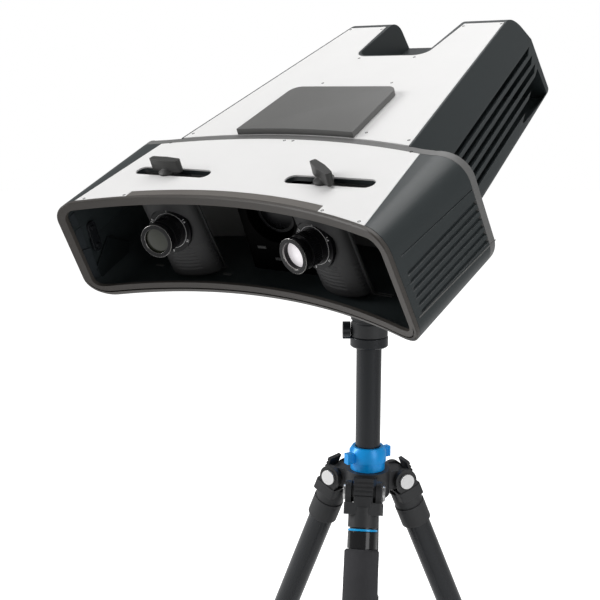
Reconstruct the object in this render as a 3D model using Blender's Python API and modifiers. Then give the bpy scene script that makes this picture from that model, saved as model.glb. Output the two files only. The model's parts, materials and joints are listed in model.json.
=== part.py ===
"""Structured-light three-d scanner on a three-way head and a folding tripod.

Metres, +Z up.  The scanner looks along -Y and is pitched nose down, as it stands in use.
Each sub-part is built in the frame of the piece that carries it, on an empty at its joint.
"""
import math

import bmesh
import bpy
from mathutils import Matrix, Vector

# Clearances and cuts
gap = 0.0003
running_gap = 0.0005
overrun = 0.006
weld_distance = 0.00001

# Facet counts
round_steps = 16
leg_steps = 12
small_steps = 10
corner_steps = 4
arch_steps = 6
flat_shares = (0.0, 0.18, 0.36, 0.54, 0.72, 0.9)
sharp_angle = math.radians(35)
round_profile = 0.5

# Front beam, the wide curved housing of the two cameras
beam_front_radius = 0.491
beam_depth = 0.125
beam_height = 0.1162
beam_top_half = (0.185, 0.190)
beam_end_start = 0.160
beam_end_slope = 0.467
beam_bottom_half = (0.194, 0.204)
beam_top_corner = (0.022, 0.030)
beam_bottom_corner = (0.024, 0.026)
beam_slant = 0.014
beam_wall = 0.004
beam_plate_half = (0.1635, 0.1490)
bezel_depth = 0.004
bezel_width = 0.0085
bezel_sill = 0.0055
bezel_edge = 0.0012
bezel_groove = 0.0010
bezel_groove_shares = (0.42, 0.50)
cap_depth = 0.009
plate_thickness = 0.0015
panel_groove = 0.0015
panel_groove_height = (0.0265, 0.0330)
rib_pitch = 0.0076
rib_top_height = 0.0456
rib_count = 6
rib_groove_depth = 0.0026
rib_groove_half = 0.0022
rib_floor_half = 0.0012
rib_front_setback = 0.012
rib_ramp = 0.004
visor_half = 0.1087
visor_depth = 0.0133

# Lever slots in the top of the beam
slot_inner = 0.044
slot_outer = 0.136
slot_width = 0.015
slot_centre_share = 0.332
slot_centre = beam_depth * slot_centre_share

# Camera pods, their lenses and lock levers
hub_left = -0.095
hub_right = 0.085
pod_toe_in = math.radians(11.2)
pod_lean = math.radians(8.3)
pod_half_width = 0.0280
pod_bulge = 0.0140
pod_chord_setback = 0.0210
pod_side_depth = 0.0030
pod_plate_half_width = 0.0300
pod_plate_thickness = 0.0015
pod_height = 0.1080
pod_corner = 0.004
carriage_half_width = 0.019
carriage_back = 0.007
pod_rib_count = 8
pod_rib_pitch = 0.0042
pod_rib_depth = 0.0007
pod_rib_top = 0.069
stud_radius = 0.004
stud_length = 0.008
carriage_height = 0.024
lens_tip_forward = 0.0560
lens_tip_drop = 0.0441
lens_rise = math.radians(8.5)
lens_length = 0.0410
lens_radius = 0.0160
lens_barrel_radius = 0.0140
lens_flange_radius = 0.0225
lens_flange_depth = 0.0040
lens_flange_setback = 0.0265
lens_mouth_radius = 0.0125
lens_mouth_depth = 0.0050
lens_front_ring = 0.0060
focus_ring_setback = 0.0105
focus_ring_width = 0.0100
focus_ring_radius = 0.0160
focus_knurls = 14
focus_knurl_depth = 0.0006
focus_seat_radius = 0.0125
glass_radius = 0.0120
glass_thickness = 0.0020
glass_dome = 0.0012
wing_length = 0.038
wing_height = 0.0120
wing_thickness = 0.0085
wing_lift = 0.0020
wing_end_share = 0.72
lever_disc_radius = 0.0095
lever_turn_left = math.radians(-4)
lever_turn_right = math.radians(-35)

# Projector between the cameras
projector_half_width = 0.040
projector_length = 0.052
projector_clearance = 0.008
projector_back = beam_depth - cap_depth - projector_clearance
projector_front = projector_back - projector_length
projector_top = 0.014
projector_corner = 0.006
projector_bore = 0.027
projector_bore_depth = 0.030
projector_height = 0.052
projector_lens_radius = 0.0215
projector_lens_length = 0.020
projector_rim = 0.003
projector_dish = 0.003

# Adjustment plate on the left inner wall
side_plate_length = 0.034
side_plate_width = 0.011
side_plate_thickness = 0.0022
side_plate_setback = 0.0255
side_plate_drop = 0.054
side_pin_radius = 0.0022
side_pin_height = 0.0016
side_pin_spacing = 0.0205

# Rear housing
rear_length = 0.4618
rear_plate_half = 0.1317
rear_plate_start = 0.114
rear_taper = 0.12
rear_rim = 0.002
rear_chamfer = (0.015, 0.033)
rear_flare = 0.005
rear_height = 0.1155
rear_bottom_corner = 0.014
rear_wall = 0.0035
rear_round = 0.027
rear_tail_lean = 0.0418
rear_tail_corner = 0.010
rear_round_length = 0.058
rear_round_start = rear_length - rear_round_length
rear_plate_setback = 0.0623
rear_plate_end = rear_length - rear_plate_setback
rear_end_wall = 0.009
rear_cavity_end = rear_length - rear_end_wall
rear_cavity_slope = 0.048
notch_length = 0.1458
notch_front = rear_length - notch_length
notch_half = (0.042, 0.048)
notch_depth = 0.041
notch_corner = 0.016
notch_rim = 0.002
louvre_count = 5
louvre_front = 0.150
louvre_tail = 0.0403
louvre_step = 0.0042
louvre_back = rear_length - louvre_tail
louvre_top = 0.037
louvre_pitch = 0.0118
louvre_height = 0.0072
louvre_depth = 0.008
louvre_slant = 0.010
panel_height = 0.006
panel_half = (0.068, 0.0625)
panel_back = 0.222
panel_corner = 0.012
panel_bevel = 0.0012

# Three-way head
head_pitch = math.radians(24.53)
mount_forward = 0.199
mount_plate = (0.060, 0.050, 0.0085)
mount_plate_corner = 0.004
mount_recess = 0.0105
mount_recess_half = 0.050
head_base_radius = 0.0205
head_base_height = 0.022
head_base_groove = 0.0015
pan_neck_radius = 0.0215
pan_disc_height = 0.010
pan_pillar = (0.034, 0.036)
tilt_axis_height = 0.0955
tilt_barrel_radius = 0.0200
tilt_cheek = 0.0085
tilt_bridge = (0.022, 0.032)
tilt_bridge_half = 0.0160
tilt_cheek_step = 0.0007
tilt_web_share = 0.9
side_axis_height = 0.040
side_barrel_radius = 0.0130
side_barrel_length = 0.034
side_cheek = 0.0070
side_web_share = 0.8
side_platform = (0.0545, 0.0610)
side_platform_half = 0.026
underside_height = 0.070
knob_radius = 0.0135
knob_length = 0.018
knob_stem_radius = 0.0045
knob_stem_length = 0.006
knob_lobes = 8
knob_lobe_depth = 0.0012
pan_knob_radius = 0.0100
pan_knob_length = 0.0085
pan_knob_azimuth = math.radians(-54.6)
pan_knob_height = 0.0060

# Centre column and its collar, heights above the leg pivots
column_radius = 0.0140
column_wall = 0.0016
column_top = 0.157
column_length = 0.300
column_plate_radius = 0.0210
column_plate_height = 0.012
column_plate_edge = 0.0012
column_plug_depth = 0.010
collar_radius = 0.0208
collar_top_radius = 0.0175
collar_top = 0.0415
collar_shoulder = 0.0365
collar_foot = 0.0245
collar_bottom = 0.0150
collar_foot_radius = 0.0195
collar_lug = (0.0105, 0.0075, 0.0120)
collar_lug_reach = 0.0240
collar_lug_azimuth = math.radians(66.5)
hook_disc_radius = 0.0150
hook_disc_height = 0.006
hook_ring_radius = 0.0080
hook_wire = 0.0016

# Spider and legs, heights from the leg pivots
pivot_radius = 0.0395
spider_top = 0.0147
spider_bottom = -0.0155
spider_hub_radius = 0.0250
arm_half_width = 0.0130
arm_eye_radius = 0.0105
arm_top = 0.0120
arm_root_drop = 0.0104
arm_lean = math.radians(8)
leg_azimuths = (math.radians(27), math.radians(147), math.radians(267))
leg_splay = math.radians(23)
cheek_thickness = 0.0065
cheek_radius = 0.0130
web_share = 0.92
bolt_radius = 0.0085
bolt_head = 0.0025
bolt_shank = 0.0040
casting_bottom = 0.0240
casting_half_depth = 0.0150
casting_inner_depth = 0.0138
casting_corner = 0.0035
casting_shoulder = 0.0010
sleeve_end = (0.0385, 0.0620)
sleeve_step = 0.0375
sleeve_radius = (0.0165, 0.0175)
socket_start = 0.026
tab_half_width = 0.0105
tab_thickness = 0.0040
tab_height = 0.0180
tab_drop = 0.0035
tab_seat = 0.0112
tab_rib_count = 3
tab_rib_depth = 0.0010
leg_collar_radius = 0.0160
leg_collar = (0.0392, 0.0600)
leg_collar_band = 0.0022
leg_collar_groove = 0.0008
tube_wall = 0.0014
upper_tube_radius = 0.0145
upper_tube_end = 0.400
middle_tube_radius = 0.0125
middle_tube_start = 0.075
middle_tube_reach = 0.040
middle_tube_end = upper_tube_end + middle_tube_reach
lower_tube_radius = 0.0105
lower_tube_start = 0.090
lock_radius = (0.0178, 0.0162)
lock_lap = 0.016
lock_overhang = 0.026
lock_lap_short = 0.0135
lock_edge = 0.0015
foot_radius = 0.0165
foot_standoff = 0.036
foot_top = middle_tube_end + foot_standoff
foot_neck_radius = 0.0125
foot_rise = 0.0275
foot_centre = foot_top + foot_rise
foot_crush = 0.0015
foam = (0.0608, 0.290)
foam_radius = 0.0190
foam_edge = 0.002

# Colours as linear RGB, roughness, metallic
finishes = {
    "white_plate": ((0.83, 0.83, 0.82), 0.45, 0.0),
    "dark_shell": ((0.032, 0.040, 0.041), 0.48, 0.0),
    "warm_grey_trim": ((0.105, 0.098, 0.092), 0.45, 0.0),
    "panel_grey": ((0.145, 0.145, 0.142), 0.40, 0.0),
    "pod_grey": ((0.044, 0.047, 0.048), 0.55, 0.0),
    "lens_black": ((0.008, 0.008, 0.010), 0.25, 0.3),
    "lens_glass": ((0.040, 0.044, 0.020), 0.05, 0.0),
    "satin_black": ((0.023, 0.026, 0.029), 0.35, 0.6),
    "cast_black": ((0.020, 0.021, 0.023), 0.55, 0.3),
    "blue_anodised": ((0.004, 0.215, 0.630), 0.28, 0.9),
    "bright_steel": ((0.780, 0.780, 0.780), 0.25, 1.0),
    "foam_black": ((0.043, 0.043, 0.046), 0.90, 0.0),
    "rubber_black": ((0.018, 0.018, 0.019), 0.80, 0.0),
}


def clear_scene():
    """Remove whatever the scene holds."""
    for old in list(bpy.data.objects):
        bpy.data.objects.remove(old, do_unlink=True)


def new_collection(name):
    collection = bpy.data.collections.new(name)
    bpy.context.scene.collection.children.link(collection)
    return collection


def make_materials():
    made = {}
    for name, (colour, roughness, metallic) in finishes.items():
        material = bpy.data.materials.new(name)
        material.use_nodes = True
        shader = material.node_tree.nodes["Principled BSDF"]
        shader.inputs["Base Color"].default_value = (*colour, 1)
        shader.inputs["Roughness"].default_value = roughness
        shader.inputs["Metallic"].default_value = metallic
        made[name] = material
    return made


clear_scene()
part_collection = new_collection("three_d_scanner")
cutter_collection = new_collection("cutters")
materials = make_materials()


def frame(name, parent, location=(0, 0, 0), rotation=(0, 0, 0)):
    """An empty on a joint's axis or a part's reference point."""
    empty = bpy.data.objects.new(name, None)
    empty.parent = parent
    empty.location = location
    empty.rotation_euler = rotation
    part_collection.objects.link(empty)
    return empty


def piece(name, mesh, parent, material, location=(0, 0, 0), rotation=(0, 0, 0)):
    """One named sub-part."""
    mesh.name = name
    mesh.shade_smooth()
    mesh.set_sharp_from_angle(angle=sharp_angle)
    mesh.materials.clear()
    mesh.materials.append(materials[material])
    made = bpy.data.objects.new(name, mesh)
    made.parent = parent
    made.location = location
    made.rotation_euler = rotation
    part_collection.objects.link(made)
    return made


def tool(name, mesh, parent, location=(0, 0, 0), rotation=(0, 0, 0)):
    """A solid that cuts or joins a sub-part and isn't one itself."""
    made = bpy.data.objects.new(name, mesh)
    made.parent = parent
    made.location = location
    made.rotation_euler = rotation
    made.hide_render = True
    made.display_type = "WIRE"
    cutter_collection.objects.link(made)
    return made


def boolean(target, tools, operation):
    for each in tools:
        step = target.modifiers.new(operation.lower() + " " + each.name, "BOOLEAN")
        step.operation = operation
        step.solver = "EXACT"
        step.object = each


def cut(target, *tools):
    boolean(target, tools, "DIFFERENCE")


def join(target, *tools):
    boolean(target, tools, "UNION")


def mesh_from(work):
    bmesh.ops.recalc_face_normals(work, faces=work.faces)
    mesh = bpy.data.meshes.new("shape")
    work.to_mesh(mesh)
    work.free()
    return mesh


def box_mesh(low, high, bevel=0.0):
    """A box between two opposite corners, with its upright edges rounded when bevel is given."""
    low = Vector(low)
    high = Vector(high)
    work = bmesh.new()
    place = Matrix.Translation((low + high) / 2) @ Matrix.Diagonal((*(high - low), 1))
    bmesh.ops.create_cube(work, size=1, matrix=place)
    if bevel:
        upright = [e for e in work.edges if abs((e.verts[0].co - e.verts[1].co).normalized().z) > 0.9]
        bmesh.ops.bevel(work, geom=upright, offset=bevel, segments=2, affect="EDGES", profile=round_profile)
    return mesh_from(work)


def rod_mesh(start, end, radius, end_radius=None, steps=round_steps):
    """A rod or cone between two points."""
    start = Vector(start)
    along = Vector(end) - start
    work = bmesh.new()
    turn = along.to_track_quat("Z", "Y").to_matrix().to_4x4()
    place = Matrix.Translation(start + along / 2) @ turn
    bmesh.ops.create_cone(
        work, cap_ends=True, segments=steps, radius1=radius,
        radius2=radius if end_radius is None else end_radius, depth=along.length, matrix=place)
    return mesh_from(work)


def bore_mesh(start, end, radius, steps=round_steps):
    """A rod for cutting a hole, its flats clear of the radius."""
    return rod_mesh(start, end, radius / math.cos(math.pi / steps), steps=steps)


def strip_mesh(stations):
    """A loft whose every station is a pair of matching point lists, one for each side."""
    work = bmesh.new()
    grid = [[[work.verts.new(p) for p in side] for side in station] for station in stations]
    for (side_a, side_b) in (grid[0], grid[-1]):
        for i in range(len(side_a) - 1):
            work.faces.new((side_a[i], side_a[i + 1], side_b[i + 1], side_b[i]))
    for near, far in zip(grid, grid[1:]):
        for side in (0, 1):
            for i in range(len(near[side]) - 1):
                work.faces.new((near[side][i], near[side][i + 1], far[side][i + 1], far[side][i]))
        for end in (0, -1):
            work.faces.new((near[0][end], near[1][end], far[1][end], far[0][end]))
    return mesh_from(work)


def ring_mesh(rings, wrap=False):
    """A loft through closed rings, either capped at both ends or wrapped round on itself."""
    work = bmesh.new()
    grid = [[work.verts.new(p) for p in ring] for ring in rings]
    count = len(rings[0])
    pairs = list(zip(grid, grid[1:]))
    if wrap:
        pairs.append((grid[-1], grid[0]))
    else:
        work.faces.new(grid[0])
        work.faces.new(grid[-1])
    for near, far in pairs:
        for i in range(count):
            j = (i + 1) % count
            work.faces.new((near[i], near[j], far[j], far[i]))
    return mesh_from(work)


def slab_mesh(outlines, low, high):
    """A flat piece from a plan outline, with any further outlines as holes in it."""
    curve = bpy.data.curves.new("outline", "CURVE")
    curve.dimensions = "2D"
    curve.fill_mode = "BOTH"
    curve.extrude = (high - low) / 2
    for outline in outlines:
        spline = curve.splines.new("POLY")
        spline.points.add(len(outline) - 1)
        spline.use_cyclic_u = True
        for point, (x, y) in zip(spline.points, outline):
            point.co = (x, y, 0, 1)
    holder = bpy.data.objects.new("outline", curve)
    cutter_collection.objects.link(holder)
    graph = bpy.context.evaluated_depsgraph_get()
    mesh = bpy.data.meshes.new_from_object(holder.evaluated_get(graph))
    bpy.data.objects.remove(holder, do_unlink=True)
    work = bmesh.new()
    work.from_mesh(mesh)
    bmesh.ops.remove_doubles(work, verts=work.verts, dist=weld_distance)
    bmesh.ops.translate(work, verts=work.verts, vec=(0, 0, (low + high) / 2))
    return mesh_from(work)


def across_mesh(outlines, low, high):
    """A flat piece whose outlines stand in the YZ plane, with its thickness along X."""
    mesh = slab_mesh(outlines, low, high)
    mesh.transform(Matrix(((0, 0, 1, 0), (1, 0, 0, 0), (0, 1, 0, 0), (0, 0, 0, 1))))
    return mesh


def along_mesh(outlines, low, high):
    """A flat piece whose outlines stand in the XZ plane, with its thickness along Y."""
    mesh = slab_mesh(outlines, -high, -low)
    mesh.transform(Matrix(((1, 0, 0, 0), (0, 0, -1, 0), (0, 1, 0, 0), (0, 0, 0, 1))))
    return mesh


def arch_outline(half_width, radius, foot):
    """A round head on the axis over an upright stem that ends at a foot below or above it."""
    top = math.copysign(1, -foot)
    lean = math.asin(half_width / radius)
    turn = arc_points((0, 0), radius, -math.pi / 2 + lean, 3 * math.pi / 2 - lean, small_steps)
    turn = [(a, b * top) for a, b in turn]
    outline = [(half_width, foot)] + turn + [(-half_width, foot)]
    return outline if top > 0 else outline[::-1]


def turned(name, profile, parent, material=None, steps=round_steps, closed=False,
           location=(0, 0, 0), rotation=(0, 0, 0)):
    """A turned piece: its (radius, height) profile runs down the outer side."""
    mesh = bpy.data.meshes.new(name)
    points = [(radius, 0, height) for radius, height in profile]
    edges = [(i, i + 1) for i in range(len(points) - 1)]
    if closed:
        edges.append((len(points) - 1, 0))
    mesh.from_pydata(points, edges, [])
    if material:
        made = piece(name, mesh, parent, material, location, rotation)
    else:
        made = tool(name, mesh, parent, location, rotation)
    screw = made.modifiers.new("turn", "SCREW")
    screw.angle = math.tau
    screw.steps = steps
    screw.render_steps = steps
    screw.use_merge_vertices = True
    screw.merge_threshold = weld_distance
    screw.use_smooth_shade = True
    return made


def tube_profile(inner, outer, top, bottom):
    """The closed wall profile of a round tube."""
    return [(outer, top), (outer, bottom), (inner, bottom), (inner, top)]


def blend(pair, share):
    return pair[0] + (pair[1] - pair[0]) * share


def arc_points(centre, radius, start, end, steps):
    """Points on an arc in a plane, both ends included."""
    turns = [start + (end - start) * i / steps for i in range(steps + 1)]
    return [(centre[0] + radius * math.cos(a), centre[1] + radius * math.sin(a)) for a in turns]


def rounded_outline(corners, radii, steps=corner_steps):
    """A polygon with each corner rounded by its own radius."""
    made = []
    count = len(corners)
    for i, (corner, radius) in enumerate(zip(corners, radii)):
        here = Vector(corner)
        if not radius:
            made.append(tuple(here))
            continue
        before = (Vector(corners[i - 1]) - here).normalized()
        after = (Vector(corners[(i + 1) % count]) - here).normalized()
        half = before.angle(after) / 2
        centre = here + (before + after).normalized() * (radius / math.sin(half))
        first = here + before * (radius / math.tan(half)) - centre
        last = here + after * (radius / math.tan(half)) - centre
        sweep = first.angle_signed(last)
        for k in range(steps + 1):
            turn = Matrix.Rotation(-sweep * k / steps, 2)
            made.append(tuple(centre + turn @ first))
    return made


def round_hole(centre, radius, steps=small_steps):
    """A round opening for a plan outline, its flats clear of the radius."""
    reach = radius / math.cos(math.pi / steps)
    return arc_points(centre, reach, 0, math.tau, steps)[:-1][::-1]


def stadium(centre, length, width, steps=corner_steps * 2):
    """A slot outline with round ends, long along X."""
    reach = (length - width) / 2
    right = arc_points((centre[0] + reach, centre[1]), width / 2, -math.pi / 2, math.pi / 2, steps)
    left = arc_points((centre[0] - reach, centre[1]), width / 2, math.pi / 2, 3 * math.pi / 2, steps)
    return right + left


# Frames, from the floor up
foot_drop = foot_centre * math.cos(leg_splay) + foot_radius - foot_crush
stand = frame("stand", None)
spider_frame = frame("spider_frame", stand, (0, 0, foot_drop))
column_axis = frame("column_axis", spider_frame)
head_foot_height = column_top + column_plate_height
pan_axis = frame("pan_axis", column_axis, (0, 0, head_foot_height))
tilt_axis = frame("tilt_axis", pan_axis, (0, 0, tilt_axis_height), (head_pitch, 0, 0))
side_axis = frame("side_axis", tilt_axis, (0, 0, side_axis_height))
scanner_frame = frame(
    "scanner_frame", side_axis,
    (0, -mount_forward, underside_height + rear_height - mount_recess - side_axis_height))


def beam_front_edge(across, share):
    """How far back the beam's face lies at a distance from its middle; its ends reach further."""
    radius = beam_front_radius + beam_depth * share
    reach = beam_end_slope * share * max(0, abs(across) - beam_end_start)
    return math.sqrt(radius ** 2 - across ** 2) - beam_front_radius + reach


def beam_point(across, height, share, setback=0.0):
    """A point of the beam: share runs from its open front to its back."""
    lean = beam_slant * (-height / beam_height) * (1 - share)
    return (across, beam_front_edge(across, share) + lean + setback, height)


def beam_half_outline(share):
    """The right half of a beam section, as (across, height, normal across, normal height)."""
    top = blend(beam_top_half, share)
    bottom = blend(beam_bottom_half, share)
    side = Vector((bottom - top, -beam_height)).normalized()
    out = Vector((-side.y, side.x))
    top_radius = blend(beam_top_corner, share)
    bottom_radius = blend(beam_bottom_corner, share)
    turn = math.acos(side.x)
    top_centre = (top - top_radius * math.tan(turn / 2), -top_radius)
    low_turn = math.pi - turn
    low_centre = (bottom - bottom_radius * math.tan(low_turn / 2), bottom_radius - beam_height)
    start = math.pi / 2
    upper = []
    for i in range(corner_steps + 1):
        angle = start - turn * i / corner_steps
        normal = (math.cos(angle), math.sin(angle))
        upper.append((top_centre[0] + top_radius * normal[0],
                      top_centre[1] + top_radius * normal[1], *normal))
    lower = []
    for i in range(corner_steps + 1):
        angle = start - turn - low_turn * i / corner_steps
        normal = (math.cos(angle), math.sin(angle))
        lower.append((low_centre[0] + bottom_radius * normal[0],
                      low_centre[1] + bottom_radius * normal[1], *normal))

    def on_side(height):
        along = -height / beam_height
        return (top + (bottom - top) * along, height, out.x, out.y)

    return upper, lower, on_side


def seam_height():
    """The shells meet in the middle of the second side groove."""
    return -(rib_top_height + rib_pitch)


def rib_relief(index, ribbed):
    """Corner heights and depths of one side groove."""
    centre = -(rib_top_height + rib_pitch * index)
    depth = rib_groove_depth if ribbed else 0.0
    return [(centre + rib_groove_half, 0.0), (centre + rib_floor_half, depth),
            (centre - rib_floor_half, depth), (centre - rib_groove_half, 0.0)]


def upper_half(share, ribbed, open_gap=gap):
    """The upper half section from the middle to the seam, with the depth of its relief."""
    upper, lower, on_side = beam_half_outline(share)
    plate = blend(beam_plate_half, share)
    recess = plate_thickness + gap
    items = [(plate * i / arch_steps, 0.0, 0.0, 1.0, recess) for i in range(arch_steps + 1)]
    items.append((plate + gap, 0.0, 0.0, 1.0, recess))
    items.append((plate + gap, 0.0, 0.0, 1.0, 0.0))
    items += [(*point, 0.0) for point in upper]
    line = -blend(panel_groove_height, share)
    floor = panel_groove if ribbed else 0.0
    items.append((*on_side(line), 0.0))
    items.append((*on_side(line - panel_groove / 2), floor))
    items.append((*on_side(line - panel_groove), 0.0))
    for height, depth in rib_relief(0, ribbed):
        items.append((*on_side(height), depth))
    seam = rib_relief(1, ribbed)
    items.append((*on_side(seam[0][0]), 0.0))
    items.append((*on_side(seam[1][0]), seam[1][1]))
    items.append((*on_side(seam_height() + open_gap / 2), seam[1][1]))
    return items


def lower_half(share, ribbed, open_gap=gap):
    """The lower half section from the seam to the middle of the floor."""
    upper, lower, on_side = beam_half_outline(share)
    seam = rib_relief(1, ribbed)
    items = [(*on_side(seam_height() - open_gap / 2), seam[2][1]),
             (*on_side(seam[2][0]), seam[2][1]), (*on_side(seam[3][0]), 0.0)]
    for index in range(2, rib_count):
        for height, depth in rib_relief(index, ribbed):
            items.append((*on_side(height), depth))
    items += [(*point, 0.0) for point in lower]
    edge = lower[-1][0]
    items += [(edge * part, -beam_height, 0.0, -1.0, 0.0) for part in flat_shares[::-1]]
    return items


def mirrored(half, from_middle):
    """A whole section, left to right, from a right half that shares its middle point."""
    ordered = half if from_middle else half[::-1]
    left = [(-u, w, -nu, nw, depth) for u, w, nu, nw, depth in ordered[1:]][::-1]
    return left + ordered


def section_points(items, share, inset, setback=0.0):
    """Beam points moved in from the outline: by their relief, or by a wall where inset is given."""
    made = []
    for u, w, nu, nw, depth in items:
        move = depth if inset is None else inset
        made.append(beam_point(u - nu * move, w - nw * move, share, setback))
    return made


def shell_stations(half, wall):
    """Stations of a beam shell, from behind the bezel to the back cap."""
    front = (bezel_depth + gap) / beam_depth
    ramp = (rib_front_setback + rib_ramp) / beam_depth
    back = 1 - (cap_depth + gap) / beam_depth
    stops = ((front, False), (rib_front_setback / beam_depth, False), (ramp, True), (back, True))
    made = []
    for share, ribbed in stops:
        items = mirrored(half(share, ribbed), half is upper_half)
        made.append((section_points(items, share, None), section_points(items, share, wall)))
    return made


def make_beam():
    """The beam's shells, bezel, back cap, white plate and visor strip."""
    deck_wall = beam_wall + plate_thickness + gap
    top = piece("beam_upper_shell", strip_mesh(shell_stations(upper_half, deck_wall)), scanner_frame,
                "dark_shell")
    piece("beam_lower_shell", strip_mesh(shell_stations(lower_half, beam_wall)), scanner_frame,
          "dark_shell")
    for side, name in ((-1, "left"), (1, "right")):
        centre = side * (slot_inner + slot_outer) / 2
        outline = stadium((centre, slot_centre), slot_outer - slot_inner, slot_width)
        cut(top, tool("slot_" + name, slab_mesh([outline], -deck_wall - overrun, overrun), scanner_frame))
    make_bezel()
    make_back_cap()
    make_beam_plate()


def plain_ring(share, inset, setback=0.0):
    """A closed ring round the plain beam section, its inset growing to the sill below."""
    sill = bezel_sill / bezel_width
    upper, lower, on_side = beam_half_outline(share)
    flat_top = [(upper[0][0] * part, 0.0, 0.0, 1.0) for part in flat_shares]
    flat_low = [(lower[-1][0] * part, -beam_height, 0.0, -1.0) for part in flat_shares[::-1]]
    half = flat_top + upper + lower + flat_low
    items = half + [(-u, w, -nu, nw) for u, w, nu, nw in half[1:-1]][::-1]
    return [beam_point(u - nu * inset, w - nw * inset * (1 + sill * max(0.0, -nw)), share, setback)
            for u, w, nu, nw in items]


def make_bezel():
    """The lighter frame round the open front, with a groove run in its face."""
    back = bezel_depth / beam_depth
    inner, outer = (bezel_width * share for share in bezel_groove_shares)
    rings = [
        plain_ring(back, 0.0), plain_ring(0.0, 0.0, bezel_edge), plain_ring(0.0, bezel_edge),
        plain_ring(0.0, inner), plain_ring(0.0, inner, bezel_groove),
        plain_ring(0.0, outer, bezel_groove), plain_ring(0.0, outer),
        plain_ring(0.0, bezel_width), plain_ring(back, bezel_width)]
    piece("front_bezel", ring_mesh(rings, wrap=True), scanner_frame, "warm_grey_trim")


def make_back_cap():
    """The plate that closes the back of the beam."""
    stations = []
    for share, inset in ((1 - cap_depth / beam_depth, 0.0), (1 - bezel_edge / beam_depth, 0.0),
                         (1.0, bezel_edge)):
        upper, lower, on_side = beam_half_outline(share)
        top = [(upper[0][0] * part, 0.0, 0.0, 1.0, 0.0) for part in flat_shares]
        low = [(lower[-1][0] * part, -beam_height, 0.0, -1.0, 0.0) for part in flat_shares]
        top += [(*point, 0.0) for point in upper]
        low += [(*point, 0.0) for point in lower[::-1]]
        stations.append((section_points(mirrored(top, True), share, inset),
                         section_points(mirrored(low, True), share, inset)))
    piece("beam_back_cap", strip_mesh(stations), scanner_frame, "warm_grey_trim")


def arc_row(half, share, setback, steps=arch_steps * 2):
    """Plan points along the beam's curve, left to right."""
    places = [half * (2 * i / steps - 1) for i in range(steps + 1)]
    return [(x, beam_front_edge(x, share) + setback) for x in places]


def make_beam_plate():
    """The white top plate, cut round the visor strip and the lever slots."""
    front = (bezel_depth + gap) / beam_depth
    back = 1 - (cap_depth + gap) / beam_depth
    front_half = blend(beam_plate_half, front)
    back_half = blend(beam_plate_half, back)
    notch = arc_row(visor_half + gap, 0.0, visor_depth + gap)
    corner = visor_half + gap
    steps = corner_steps
    wing = [corner + (front_half - corner) * i / steps for i in range(steps + 1)]
    right = [(x, beam_front_edge(x, front)) for x in wing]
    left = [(-x, y) for x, y in right[::-1]]
    outline = left + notch + right
    outline += arc_row(back_half, back, 0.0)[::-1]
    holes = []
    for side in (-1, 1):
        centre = side * (slot_inner + slot_outer) / 2
        holes.append(stadium((centre, slot_centre), slot_outer - slot_inner, slot_width)[::-1])
    piece("beam_top_plate", slab_mesh([outline] + holes, -plate_thickness, 0.0), scanner_frame,
          "white_plate")
    strip = arc_row(visor_half, front, 0.0) + arc_row(visor_half, 0.0, visor_depth)[::-1]
    piece("visor_strip", slab_mesh([strip], -plate_thickness, 0.0), scanner_frame, "warm_grey_trim")


def pod_ring(height, inset):
    """A D-shaped pod section at a height below the top of the beam."""
    setback = -height * math.tan(pod_lean)
    half = pod_half_width - inset
    bulge = pod_bulge - inset
    made = []
    for i in range(small_steps + 1):
        angle = math.pi + math.pi * i / small_steps
        made.append((half * math.cos(angle), -pod_chord_setback + bulge * math.sin(angle) + setback, height))
    back = setback + pod_side_depth - pod_chord_setback
    made.append((half, back, height))
    made.append((-half, back, height))
    return made


def make_pod(side, name, hub, turn):
    """One camera pod on its slide, with its lens and lock lever."""
    roof = -(beam_wall + plate_thickness + gap + running_gap)
    toe = -side * pod_toe_in
    slide = frame(name + "_camera_slide", scanner_frame, (hub, slot_centre, 0), (0, 0, toe))
    rings = [pod_ring(roof, 0.0)]
    for i in range(pod_rib_count):
        top = -(pod_rib_top + pod_rib_pitch * i)
        rings.append(pod_ring(top, 0.0))
        rings.append(pod_ring(top - pod_rib_pitch / 2, pod_rib_depth))
    rings.append(pod_ring(pod_corner - pod_height, 0.0))
    rings.append(pod_ring(pod_corner / 4 - pod_height, pod_corner / 4))
    rings.append(pod_ring(-pod_height, pod_corner))
    pod = piece(name + "_camera_pod", ring_mesh(rings), slide, "pod_grey")
    carriage = tool(name + "_carriage", box_mesh(
        (-carriage_half_width, -pod_chord_setback, roof - carriage_height),
        (carriage_half_width, carriage_back, roof)), slide)
    front = pod_side_depth - pod_chord_setback - pod_plate_thickness / 2
    plate_rows = []
    for depth in (front, front + pod_plate_thickness * 3 / 2):
        plate_rows.append([(x, depth - z * math.tan(pod_lean), z) for x, z in (
            (-pod_plate_half_width, roof), (pod_plate_half_width, roof),
            (pod_plate_half_width, -pod_height), (-pod_plate_half_width, -pod_height))])
    plate = tool(name + "_back_plate", ring_mesh(plate_rows), slide)
    stud_hole = tool(name + "_stud_hole", bore_mesh(
        (0, 0, roof - stud_length - gap), (0, 0, overrun), stud_radius + gap, small_steps), slide)
    join(pod, plate, carriage)
    lens = frame(name + "_lens_axis", slide, (0, -lens_tip_forward, -lens_tip_drop),
                 (math.pi / 2 - lens_rise, 0, 0))
    seat = tool(name + "_lens_seat", bore_mesh(
        (0, 0, -lens_flange_setback - lens_flange_depth - gap), (0, 0, overrun),
        lens_flange_radius + gap), lens)
    bore = tool(name + "_lens_bore", bore_mesh(
        (0, 0, -lens_length - gap), (0, 0, overrun), lens_barrel_radius + gap), lens)
    cut(pod, stud_hole, seat, bore)
    make_lens(name, lens)
    make_lever(name, slide, turn - toe, roof)


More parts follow.
